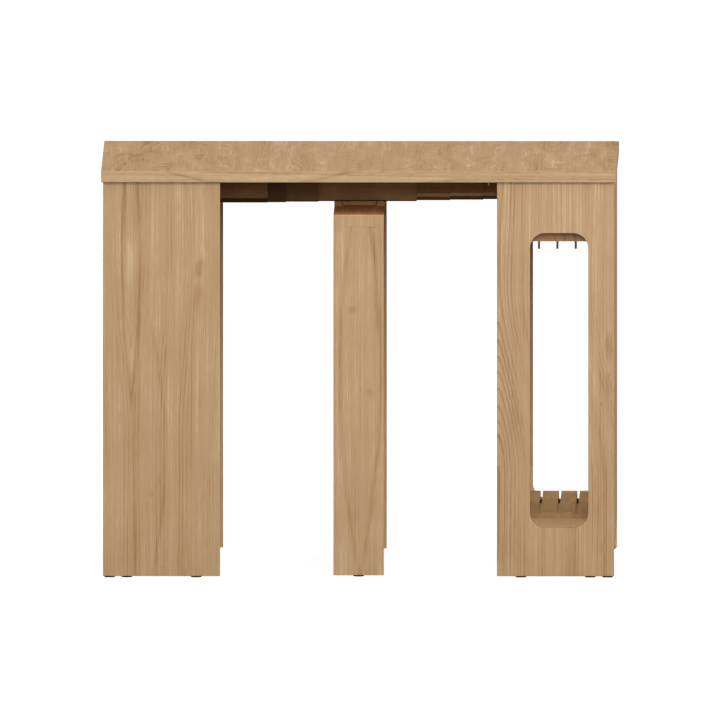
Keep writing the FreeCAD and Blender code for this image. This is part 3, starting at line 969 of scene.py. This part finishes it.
def cut(piece: Piece, cutters: list[Piece]) -> None:
    """Takes the cutters' shapes out of a piece and removes the cutters.

    Args:
        piece: What is cut.
        cutters: The shapes to take out.
    """
    for cutter in cutters:
        select([piece])
        modifier = piece.modifiers.new("cut", "BOOLEAN")
        modifier.operation = "DIFFERENCE"
        modifier.solver = "EXACT"
        modifier.object = cutter
        bpy.ops.object.modifier_apply(modifier=modifier.name)
        bpy.data.objects.remove(cutter)


def copied(piece: Piece, shift: Vector) -> Piece:
    """A copy with a mesh of its own, moved in its mesh.

    Args:
        piece: What is copied.
        shift: How far the copy is moved.

    Returns:
        The copy.
    """
    twin = piece.copy()
    twin.data = piece.data.copy()
    bpy.context.collection.objects.link(twin)
    select([twin])
    twin.location = shift
    bpy.ops.object.transform_apply(location=True, rotation=False, scale=False)
    return twin


def joined(name: str, pieces: list[Piece]) -> Piece:
    """One piece from several, smooth on its rounds and sharp on its edges.

    Args:
        name: The joined piece's name.
        pieces: What is joined.

    Returns:
        The joined piece.
    """
    select(pieces)
    if len(pieces) > 1:
        bpy.ops.object.join()
    piece = bpy.context.object
    piece.name = name
    piece.data.name = name
    with editing(piece):
        bpy.ops.mesh.select_all(action="SELECT")
        bpy.ops.mesh.normals_make_consistent(inside=False)
    bpy.ops.object.shade_smooth_by_angle(angle=SMOOTH_ANGLE)
    return piece


def hand_over(piece: Piece, node: str, body: Body, slot: Slot, material: Material) -> None:
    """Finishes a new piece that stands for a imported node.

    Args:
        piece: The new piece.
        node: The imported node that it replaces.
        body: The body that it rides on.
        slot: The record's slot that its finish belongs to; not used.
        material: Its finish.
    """
    piece.data.materials.clear()
    piece.data.materials.append(material)
    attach(piece, body.value)
    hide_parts(node)
    LOG.info("built %s for %s, with %d faces", piece.name, node, len(piece.data.polygons))


def solid_boxes(node: str) -> list[tuple[Vector, Vector]]:
    """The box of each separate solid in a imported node.

    Args:
        node: The node's name.

    Returns:
        Each solid's lowest and highest corner.
    """
    mesh = bmesh.new()
    mesh.from_mesh(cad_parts[node].data)
    bmesh.ops.remove_doubles(mesh, verts=mesh.verts, dist=WELD)
    boxes = []
    waiting = set(mesh.verts)
    while waiting:
        reached = [waiting.pop()]
        for vertex in reached:
            near = {edge.other_vert(vertex) for edge in vertex.link_edges} & waiting
            waiting -= near
            reached.extend(near)
        low = Vector(min(vertex.co[axis.value] for vertex in reached) for axis in Axis)
        high = Vector(max(vertex.co[axis.value] for vertex in reached) for axis in Axis)
        boxes.append((low, high))
    mesh.free()
    return sorted(boxes, key=lambda box: tuple(box[0]))


def one_for_each(name: str, node: str, made: Callable[[Vector, Vector], Piece]) -> Piece:
    """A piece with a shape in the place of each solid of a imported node, all like the first.

    Args:
        name: The piece's name.
        node: The node's name.
        made: Models the first shape from its solid's lowest and highest corner.

    Returns:
        The piece.
    """
    boxes = solid_boxes(node)
    first = made(*boxes[0])
    return joined(name, [first] + [copied(first, low - boxes[0][0]) for low, _ in boxes[1:]])


# Sub-assemblies


@dataclass
class TopBoards:
    """The two half-tops and the leaf, veneered along the table's depth, with lipped edges."""

    level: float = 765.0 * MM
    heart: float = 40.0 * MM
    log: Log = Log(depth=35.0 * MM, taper=0.03, seed=3.1)
    edge_pace: float = 0.42
    edge_shift: float = 1250.0 * MM
    edge_veins: tuple[Vein, ...] = (
        Vein(-80.0 * MM, 1275.0 * MM, 4.5, 130.0 * MM, 4.0 * MM, 0.20),
        Vein(-80.0 * MM, 1286.0 * MM, 4.5, 130.0 * MM, 11.0 * MM, -0.16),
    )

    def dress(self) -> None:
        """Gives the three boards their finish."""
        edge_heart = self.level - self.edge_shift
        lippings = {
            Axis.Y: Lay(Axis.X, Axis.Z, Axis.Y, edge_heart, self.edge_pace),
            Axis.X: Lay(Axis.Y, Axis.Z, Axis.X, edge_heart, self.edge_pace),
        }
        lay = Lay(Axis.Y, Axis.X, Axis.Z, self.heart)
        veneer = TOP_WOOD.material("tops", lay, self.log, lippings, veins=self.edge_veins)
        for node in ("left_top", "leaf", "right_top"):
            dress(node, veneer)


@dataclass
class EndLeg:
    """One end leg: front, rear and outer panel, with its cleats and dowels."""

    side: Side
    front_heart: float
    front_log: Log
    front_stains: tuple[StainAndShade, ...]
    front_veins: tuple[Vein, ...]
    front_finish: WoodFinish = LIGHT_WOOD
    rear_finish: WoodFinish = REAR_WOOD
    rear_heart: float = 330.0 * MM
    rear_log: Log = Log(depth=-30.0 * MM, taper=0.08, seed=15.7)
    outer_heart: float = 80.0 * MM
    outer_log: Log = Log(depth=-35.0 * MM, taper=0.1, seed=19.9)
    cleat_log: Log = Log(depth=90.0 * MM, taper=0.02, seed=23.0)

    def dress(self) -> None:
        """Gives the leg's boards their finish."""
        name = self.side.name.lower()
        sign = self.side.value
        lay = Lay(Axis.Z, Axis.X, Axis.Y, self.front_heart)
        dress_board(f"{name}_leg_front_panel", self.front_finish, lay, self.front_log,
                    stains=self.front_stains, veins=self.front_veins)
        lay = Lay(Axis.Z, Axis.X, Axis.Y, sign * self.rear_heart)
        dress_board(f"{name}_leg_rear_panel", self.rear_finish, lay, self.rear_log.moved(sign))
        lay = Lay(Axis.Z, Axis.Y, Axis.X, sign * self.outer_heart)
        dress_board(f"{name}_leg_outer_panel", LIGHT_WOOD, lay, self.outer_log.moved(sign))
        lay = Lay(Axis.X, Axis.Y, Axis.Z)
        batten = BATTEN_WOOD.material(f"{name}_cleats", lay, self.cleat_log.moved(sign))
        for node in (f"{name}_leg_cleats", f"{name}_leg_dowels"):
            dress(node, batten)


@dataclass
class LeafRack:
    """The leaf rack in the right leg: two boards, fins, comb block and slats."""

    slats: int = 4
    heart: float = 360.0 * MM
    log: Log = Log(depth=30.0 * MM, taper=0.04, seed=31.0)
    seed_step: float = 0.8
    fin_heart: float = 600.0 * MM
    fin_log: Log = Log(depth=50.0 * MM, taper=0.03, seed=29.0)
    # Painted shade on the floor board, under the slats and in the gaps between them.
    painted_shade: StainAndShade = StainAndShade(430.0 * MM, 385.0 * MM, 450.0 * MM, 600.0 * MM, 1.0)

    def dress(self) -> None:
        """Gives the rack's boards their finish."""
        finishes = {"top_board": HEAD_WOOD, "floor_board": SILL_WOOD, "comb_block": COMB_WOOD}
        finishes |= {f"slat_{number + 1}": SLAT_WOOD for number in range(self.slats)}
        lay = Lay(Axis.Y, Axis.X, Axis.Z, self.heart)
        lippings = {Axis.Y: Lay(Axis.Z, Axis.X, Axis.Y, self.heart)}
        for number, (board, finish) in enumerate(finishes.items()):
            log = self.log.moved(number * self.seed_step)
            # Only the floor board takes the painted shade.
            stains = (self.painted_shade,) if finish is SILL_WOOD else ()
            dress_board(f"rack_{board}", finish, lay, log, lippings=lippings, stains=stains)
        lay = Lay(Axis.Y, Axis.Z, Axis.X, self.fin_heart)
        dress("rack_fins", FIN_WOOD.material("fins", lay, self.fin_log))


@dataclass
class CentreLeg:
    """The centre leg: two panels, the board on top of them, the spine and its dowels."""

    heart: float = -3.0 * MM
    # Painted light: the foot slightly paler than the head.
    front_log: Log = Log(depth=60.0 * MM, taper=0.0, seed=41.5, fade=-0.02)
    rear_log: Log = Log(depth=-40.0 * MM, taper=0.07, seed=44.2)
    spine_heart: float = 100.0 * MM
    spine_log: Log = Log(depth=-40.0 * MM, taper=0.07, seed=48.7)
    dowel_log: Log = Log(depth=80.0 * MM, taper=0.02, seed=50.3)
    veins: tuple[Vein, ...] = (
        Vein(387.0 * MM, 41.0 * MM, -0.25, 480.0 * MM, 8.0 * MM, 0.26),
        Vein(387.0 * MM, -35.0 * MM, 0.25, 480.0 * MM, 8.0 * MM, 0.20),
    )
    stains: tuple[StainAndShade, ...] = (
        StainAndShade(509.0 * MM, -12.0 * MM, 7.0 * MM, 8.0 * MM, 0.50),
        StainAndShade(351.0 * MM, 21.0 * MM, 9.0 * MM, 6.0 * MM, 0.40),
    )
    # Painted shade on the front end of the top board's upper face.
    painted_shade: StainAndShade = StainAndShade(-413.0 * MM, -3.0 * MM, 170.0 * MM, 900.0 * MM, 1.0)

    def dress(self) -> None:
        """Gives the leg's boards their finish."""
        upright = Lay(Axis.Z, Axis.X, Axis.Y, self.heart)
        flat = Lay(Axis.Y, Axis.X, Axis.Z)
        dress_board("centre_leg_front_panel", LIGHT_WOOD, upright, self.front_log,
                    stains=self.stains, veins=self.veins)
        dress_board("centre_leg_rear_panel", REAR_WOOD, upright, self.rear_log)
        # The top board takes painted light on its upper face and painted shade at its front end.
        dress_board("centre_leg_top_board", CAP_WOOD, upright, self.front_log,
                    lippings={Axis.Z: flat}, stains=(self.painted_shade,))
        lay = Lay(Axis.Z, Axis.Y, Axis.X, self.spine_heart)
        dress_board("centre_leg_spine", LIGHT_WOOD, lay, self.spine_log)
        dress("centre_leg_dowels", BATTEN_WOOD.material("centre_dowels", flat, self.dowel_log))


@dataclass
class GuideSets:
    """The telescopic guide beams, their saddle blocks with cheeks, and their sliding keys."""

    lanes: tuple[str, ...] = ("left_outer", "left_middle", "left_inner", "fixed_left",
                              "fixed_right", "right_inner", "right_middle", "right_outer")
    keyed: tuple[str, ...] = ("left_middle", "left_inner", "fixed", "right_inner", "right_middle")
    # Each lane's brightness share: lighter and darker copies of one guide wood, as painted light and shade
    # on the beams.
    tone_shares: tuple[float, ...] = (1.26, 0.50, 0.93, 0.86, 1.02, 1.08, 1.0, 1.45)
    beam_heart: float = 650.0 * MM
    beam_log: Log = Log(depth=60.0 * MM, taper=0.03, seed=61.0)
    seed_step: float = 1.3
    saddle_log: Log = Log(depth=50.0 * MM, taper=0.03, seed=73.0)
    # Painted shade along the lower lip of the right beams.
    lip_painted_shade: StainAndShade = StainAndShade(0.0, 702.0 * MM, 3000.0 * MM, 5.0 * MM, 1.0)

    def dress(self) -> None:
        """Gives the beams, blocks and keys their finish."""
        finishes = {"left": GUIDE_WOOD, "fixed": FIXED_GUIDE_WOOD, "right": RIGHT_GUIDE_WOOD}
        lay = Lay(Axis.X, Axis.Z, Axis.Y, self.beam_heart)
        for number, (lane, share) in enumerate(zip(self.lanes, self.tone_shares)):
            log = self.beam_log.moved(number * self.seed_step)
            finish = next(made for word, made in finishes.items() if lane.startswith(word))
            # Only the right beams take the painted shade on their lip.
            stains = (self.lip_painted_shade,) if finish is RIGHT_GUIDE_WOOD else ()
            # Each lane's wood is scaled by its brightness share, as painted light and shade.
            material = finish.shaded(share).material(lane, lay, log, stains=stains)
            for place in ("front", "rear"):
                dress(f"{place}_{lane}_guide", material)
        saddle = SADDLE_WOOD.material("saddle", Lay(Axis.Y, Axis.X, Axis.Z), self.saddle_log)
        for node in ("front_saddle_block", "rear_saddle_block", "saddle_cheeks"):
            dress(node, saddle)
        nylon = KEY_NYLON.material()
        for lane in self.keyed:
            dress(f"{lane}_guide_keys", nylon)


@dataclass
class GlidePads:
    """The round felt-faced glide pads under the legs, each with a sunk nail."""

    sides: int = 40
    rim: float = 0.6 * MM
    rim_steps: int = 3
    ring_width: float = 4.5 * MM
    well_depth: float = 0.8 * MM
    nail_gap: float = 1.0 * MM
    nail_height: float = 0.5 * MM

    def pad(self, low: Vector, high: Vector) -> Piece:
        """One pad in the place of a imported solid.

        Args:
            low: The solid's lowest corner.
            high: Its highest corner.

        Returns:
            The pad.
        """
        middle = (low + high) / 2
        foot = Vector((middle.x, middle.y, low.z))
        head = Vector((middle.x, middle.y, high.z))
        piece = turned_bar("pad", self.sides, (high.x - low.x) / 2, foot, head)
        with editing(piece):
            round_edges(piece, lambda edge: max(ends(edge)) - min(ends(edge)) < self.rim,
                        self.rim, self.rim_steps)
            pick(piece, Element.FACE, lambda face: face.normal.z < -HALF and len(face.verts) == self.sides)
            bpy.ops.mesh.inset(thickness=self.ring_width, depth=0.0)
            bpy.ops.mesh.inset(thickness=self.rim, depth=-self.well_depth)
            bpy.ops.mesh.inset(thickness=self.nail_gap, depth=0.0)
            bpy.ops.mesh.inset(thickness=self.rim, depth=self.nail_height)
        return piece

    def build(self) -> None:
        """Builds the pads of all three legs."""
        felt = PAD_FELT.material()
        for leg, body in (("left", Body.LEFT_END), ("right", Body.RIGHT_END), ("centre", Body.CENTRE)):
            node = f"{leg}_leg_pads"
            pads = one_for_each(f"{leg}_leg_glides", node, self.pad)
            hand_over(pads, node, body, Slot.PAD, felt)


@dataclass
class CleatScrews:
    """The wood screws under the cleats, with domed heads and a cross recess."""

    sides: int = 24
    head_radius: float = 4.0 * MM
    head_height: float = 2.0 * MM
    shank_radius: float = 2.0 * MM
    dome: float = 1.1 * MM
    dome_steps: int = 3
    recess_length: float = 4.4 * MM
    recess_width: float = 1.0 * MM
    recess_depth: float = 1.1 * MM
    tip_share: float = 0.3
    tip_length: float = 5.0 * MM

    def screw(self, low: Vector, high: Vector) -> Piece:
        """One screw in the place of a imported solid.

        Args:
            low: The solid's lowest corner.
            high: Its highest corner.

        Returns:
            The screw.
        """
        x, y = ((low + high) / 2).xy
        shoulder = low.z + self.head_height
        foot = Vector((x, y, low.z))
        piece = turned_bar("screw", self.sides, self.head_radius, foot, Vector((x, y, shoulder)))
        with editing(piece):
            round_edges(piece, lambda edge: max(ends(edge)) < shoulder - self.dome,
                        self.dome, self.dome_steps)
            pick(piece, Element.FACE, lambda face: face.normal.z > HALF)
            bpy.ops.mesh.inset(thickness=self.head_radius - self.shank_radius, depth=0.0)
            rise = high.z - shoulder - self.tip_length
            bpy.ops.mesh.extrude_region_move(TRANSFORM_OT_translate={"value": (0, 0, rise)})
            bpy.ops.mesh.extrude_region_move(TRANSFORM_OT_translate={"value": (0, 0, self.tip_length)})
            bpy.ops.transform.resize(value=(self.tip_share, self.tip_share, 1))
        sizes = (self.recess_length, self.recess_width)
        cutters = []
        for length, width in (sizes, reversed(sizes)):
            reach = Vector((length / 2, width / 2, self.recess_depth))
            cutters.append(squared_block("recess", foot - reach, foot + reach))
        cut(piece, cutters)
        return piece

    def build(self, steel: Material) -> None:
        """Builds the screws of both end legs.

        Args:
            steel: Their finish.
        """
        for leg, body in (("left", Body.LEFT_END), ("right", Body.RIGHT_END)):
            node = f"{leg}_leg_screws"
            screws = one_for_each(f"{leg}_cleat_screws", node, self.screw)
            hand_over(screws, node, body, Slot.STEEL, steel)


@dataclass
class LeafClips:
    """The steel clips under the seams: prongs with a thumb lug, and the sockets that take their rods."""

    inset: float = 6.0 * MM
    width: float = 16.0 * MM
    height: float = 4.6 * MM
    offset: float = 375.0 * MM
    prong_length: float = 20.0 * MM
    socket_length: float = 26.0 * MM
    rod_radius: float = 1.3 * MM
    rod_play: float = 0.3 * MM
    rod_grip: float = 18.0 * MM
    rod_round_share: float = 1.0 / 3.0
    lug_radius: float = 2.0 * MM
    lug_drop: float = 6.1 * MM
    lug_round: float = 0.9 * MM
    arris: float = 1.0 * MM
    arris_steps: int = 3
    sides: int = 32
    screw_radius: float = 1.7 * MM
    screw_sink: float = 0.6 * MM
    screw_shares: Span = (0.24, 0.76)

    def body(self, seam: float, inward: int, length: float, under: float) -> Piece:
        """A clip's body on the front side, with two sunk screw holes.

        Args:
            seam: Where its board's seam edge is along X.
            inward: The sign of X away from the seam.
            length: How long the body is.
            under: The level of the top's underside.

        Returns:
            The body.
        """
        near = seam + inward * self.inset
        far = near + inward * length
        low = Vector((min(near, far), -self.offset - self.width / 2, under - self.height))
        high = Vector((max(near, far), -self.offset + self.width / 2, under))
        piece = squared_block("clip", low, high)
        with editing(piece):
            round_edges(piece, lambda edge: min(ends(edge)) < under - self.height / 2,
                        self.arris, self.arris_steps)
        holes = []
        for share in self.screw_shares:
            y = low.y + (high.y - low.y) * share
            rim = Vector(((near + far) / 2, y, low.z))
            sink = Vector((0, 0, self.screw_sink))
            holes.append(turned_bar("hole", self.sides, self.screw_radius, rim - sink, rim + sink))
        cut(piece, holes)
        return piece

    def rod(self, start: float, end: float, radius: float, under: float) -> Piece:
        """A round bar along X at a clip's middle."""
        tips = [Vector((x, -self.offset, under - self.height / 2)) for x in (start, end)]
        return turned_bar("rod", self.sides, radius, *tips)

    def round_end(self, bar: Piece, axis: Axis, place: float, radius: float) -> None:
        """Rounds one end of a bar.

        Args:
            bar: The bar.
            axis: The axis that it lies along.
            place: Where the end is on that axis.
            radius: How far the rounding reaches.
        """
        def at_end(edge: bmesh.types.BMEdge) -> bool:
            """True for an edge of the bar's end."""
            return all(abs(end - place) < self.rod_play for end in ends(edge, axis))

        with editing(bar):
            round_edges(bar, at_end, radius, self.arris_steps)

    def prong(self, seam: float, inward: int, far_seam: float, under: float) -> list[Piece]:
        """A prong: body, rod and lug.

        Args:
            seam: Where its board's seam edge is along X.
            inward: The sign of X away from the seam.
            far_seam: Where the other board's edge is.
            under: The level of the top's underside.

        Returns:
            The prong's shapes.
        """
        near = seam + inward * self.inset
        tip = far_seam - inward * (self.inset + self.rod_grip)
        rod = self.rod(near, tip, self.rod_radius, under)
        self.round_end(rod, Axis.X, tip, self.rod_radius * self.rod_round_share)
        middle = near + inward * self.prong_length / 2
        foot = Vector((middle, -self.offset, under - self.height - self.lug_drop))
        lug = turned_bar("lug", self.sides, self.lug_radius, foot, foot + Vector((0, 0, self.lug_drop)))
        self.round_end(lug, Axis.Z, foot.z, self.lug_round)
        return [self.body(seam, inward, self.prong_length, under), rod, lug]

    def socket(self, seam: float, inward: int, under: float) -> list[Piece]:
        """A socket: a body with the bore that takes a rod.

        Args:
            seam: Where its board's seam edge is along X.
            inward: The sign of X away from the seam.
            under: The level of the top's underside.

        Returns:
            The socket's shape, in a list.
        """
        near = seam + inward * self.inset
        end = near + inward * (self.rod_grip + self.rod_play)
        piece = self.body(seam, inward, self.socket_length, under)
        cut(piece, [self.rod(near - inward * self.arris, end, self.rod_radius + self.rod_play, under)])
        return [piece]

    def both_sides(self, shapes: list[Piece]) -> list[Piece]:
        """The front clip's shapes and their copies at the rear."""
        return shapes + [copied(shape, Vector((0, 2 * self.offset, 0))) for shape in shapes]

    def build(self, steel: Material) -> None:
        """Builds the clips at both seams.

        Args:
            steel: Their finish.
        """
        leaf_low, leaf_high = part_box("leaf")
        left_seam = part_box("left_top")[1].x
        right_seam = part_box("right_top")[0].x
        under = leaf_low.z

        def fitted(name: str, node: str, body: Body, shapes: list[Piece]) -> None:
            """Joins one board's clips, front and rear, and hands them over."""
            hand_over(joined(name, self.both_sides(shapes)), node, body, Slot.STEEL, steel)

        fitted("leaf_seam_clips", "leaf_clips", Body.CENTRE,
               self.socket(leaf_low.x, 1, under) + self.prong(leaf_high.x, -1, right_seam, under))
        fitted("left_seam_clips", "left_top_clips", Body.LEFT_END,
               self.prong(left_seam, -1, leaf_low.x, under))
        fitted("right_seam_clips", "right_top_clips", Body.RIGHT_END,
               self.socket(right_seam, 1, under))


@dataclass
class Tongues:
    """The loose tongue strips in the seams."""

    nodes: tuple[str, ...] = ("leaf_tongue", "right_top_tongue")
    heart: float = 200.0 * MM
    log: Log = Log(depth=50.0 * MM, taper=0.02, seed=81.0)

    def dress(self) -> None:
        """Gives the strips their finish."""
        strip = BATTEN_WOOD.material("tongues", Lay(Axis.Y, Axis.X, Axis.Z, self.heart), self.log)
        for node in self.nodes:
            dress(node, strip)


LEFT_LEG = EndLeg(
    side=Side.LEFT,
    front_heart=-433.0 * MM,
    # Painted shade: the front panel darker towards its foot.
    front_log=Log(2.0 * MM, 0.0, 10.3, rise=-20.0 * MM, crown=(250.0 * MM, 620.0 * MM), fade=0.08),
    front_stains=(
        StainAndShade(590.0 * MM, -303.0 * MM, 24.0 * MM, 9.0 * MM, 0.56),
        StainAndShade(535.0 * MM, -306.0 * MM, 26.0 * MM, 10.0 * MM, 0.34),
        StainAndShade(158.0 * MM, -394.0 * MM, 8.0 * MM, 5.0 * MM, 0.30),
        StainAndShade(690.0 * MM, -433.0 * MM, 70.0 * MM, 14.0 * MM, 0.20),
    ),
    front_veins=(
        Vein(234.0 * MM, -368.0 * MM, -0.466, 300.0 * MM, 7.0 * MM, 0.20),
        Vein(606.0 * MM, 17.0 * MM, -0.24, 460.0 * MM, 6.0 * MM, 0.26, mirrored=True),
        Vein(500.0 * MM, -433.0 * MM, 0.0, 150.0 * MM, 20.0 * MM, -0.15),
    ),
)
RIGHT_LEG = EndLeg(
    side=Side.RIGHT,
    front_heart=266.0 * MM,
    # Painted shade: the front panel darker towards its foot.
    front_log=Log(
        9.0 * MM, 0.0, 12.3, rise=56.0 * MM, crown=(180.0 * MM, 560.0 * MM), fade=0.26, heart_share=1.6,
    ),
    front_stains=(
        StainAndShade(440.0 * MM, 477.0 * MM, 28.0 * MM, 8.0 * MM, 0.50),
        StainAndShade(366.0 * MM, 476.0 * MM, 30.0 * MM, 8.0 * MM, 0.34),
        StainAndShade(330.0 * MM, 462.0 * MM, 4.0 * MM, 3.0 * MM, 0.45),
    ),
    front_veins=(),
    front_finish=SHELL_WOOD,
    rear_finish=RACK_SIDE_WOOD,
)


# Studio


@dataclass(frozen=True)
class Softbox:
    """A large soft lamp, with its place and size in metres and its power in watts."""

    name: str
    place: Triple
    width: float
    height: float
    power: float


@dataclass
class Studio:
    """Pale floor, soft light and the camera at the photograph's viewing angle, with sizes in metres."""

    floor_size: float = 60.0
    floor_shine: float = 0.955
    floor_paint: float = 0.14
    floor_bounce: float = 0.22
    horizon: float = 0.42
    zenith: float = 0.88
    target: Triple = (0.0, 0.0, 0.45)
    boxes: tuple[Softbox, ...] = (
        Softbox("front_softbox", (0.44, -4.8, 2.1), 0.7, 2.6, 136.0),
        Softbox("side_softbox", (4.0, -1.2, 1.3), 2.6, 1.6, 50.0),
        Softbox("rear_softbox", (-1.2, 3.0, 3.8), 3.0, 2.0, 38.0),
        Softbox("fill_softbox", (-3.6, 4.2, 1.8), 2.4, 2.4, 60.0),
    )
    azimuth: float = math.radians(0.39)
    elevation: float = math.radians(3.65)
    view_width: float = 1.3706
    view_middle: Triple = (0.0029, -0.450, 0.4155)
    view_distance: float = 8.0

    def floor(self) -> None:
        """Lays the floor, which is bright to the eye and throws little light up."""
        deselect()
        bpy.ops.mesh.primitive_plane_add(size=self.floor_size)
        floor = settled("floor")
        sketch = Sketch(bpy.data.materials.new("pale_floor"))
        sketch.tree.nodes.remove(sketch.shader)
        bounce = sketch.node("BsdfDiffuse", {"Color": grey(self.floor_bounce)})
        paint = sketch.node("BsdfDiffuse", {"Color": grey(self.floor_paint)})
        shine = sketch.node("Emission", {"Strength": self.floor_shine})
        seen = sketch.node("AddShader", {0: paint.outputs[0], 1: shine.outputs[0]})
        sight = sketch.node("LightPath").outputs["Is Camera Ray"]
        surface = sketch.node("MixShader", {0: sight, 1: bounce.outputs[0], 2: seen.outputs[0]})
        output = next(node for node in sketch.tree.nodes if node.type == "OUTPUT_MATERIAL")
        sketch.feed(output.inputs["Surface"], surface.outputs[0])
        floor.data.materials.append(sketch.owner)

    def backdrop(self) -> None:
        """Fills the room with soft light, and shows it white to the eye."""
        sketch = Sketch(bpy.data.worlds.new("studio"), "BACKGROUND")
        rise = sketch.parts(sketch.node("TexCoord").outputs["Generated"])[Axis.Z.value]
        sky = sketch.node("MapRange", {"Value": rise, "To Min": self.horizon, "To Max": self.zenith})
        sight = sketch.node("LightPath").outputs["Is Camera Ray"]
        strength = sketch.node("Mix", {"Factor": sight, "A": sky.outputs[0], "B": 1.0})
        inputs = {"Strength": strength.outputs[0], "Color": grey(1.0)}
        bpy.context.scene.world = sketch.finished(inputs)

    def lamp(self, box: Softbox) -> None:
        """Hangs one softbox."""
        light = bpy.data.lights.new(box.name, "AREA")
        light.shape = "RECTANGLE"
        light.size = box.width
        light.size_y = box.height
        light.energy = box.power
        lamp = bpy.data.objects.new(box.name, light)
        bpy.context.scene.collection.objects.link(lamp)
        lamp.location = box.place
        lamp.rotation_euler = (Vector(self.target) - Vector(box.place)).to_track_quat("-Z", "Y").to_euler()

    def camera(self) -> None:
        """Sets up the camera, far off as in the photograph, so that nothing grows smaller with depth."""
        level = math.cos(self.elevation)
        sideways = math.sin(self.azimuth) * level
        outward = -math.cos(self.azimuth) * level
        back = Vector((sideways, outward, math.sin(self.elevation)))
        data = bpy.data.cameras.new("photo_camera")
        data.type = "ORTHO"
        data.ortho_scale = self.view_width
        camera = bpy.data.objects.new("photo_camera", data)
        bpy.context.scene.collection.objects.link(camera)
        camera.location = Vector(self.view_middle) + back * self.view_distance
        camera.rotation_euler = (-back).to_track_quat("-Z", "Y").to_euler()
        bpy.context.scene.camera = camera

    def build(self) -> None:
        """Builds the whole studio."""
        self.floor()
        self.backdrop()
        for box in self.boxes:
            self.lamp(box)
        self.camera()
        bpy.context.scene.view_settings.view_transform = "Standard"


def main() -> None:
    """Builds and dresses the table, then the studio."""
    logging.basicConfig(level=logging.INFO, format="%(name)s: %(message)s")
    TopBoards().dress()
    for leg in (LEFT_LEG, RIGHT_LEG):
        leg.dress()
    LeafRack().dress()
    CentreLeg().dress()
    GuideSets().dress()
    Tongues().dress()
    GlidePads().build()
    steel = ZINC.material()
    CleatScrews().build(steel)
    LeafClips().build(steel)
    Studio().build()


if __name__ == "__main__":
    main()
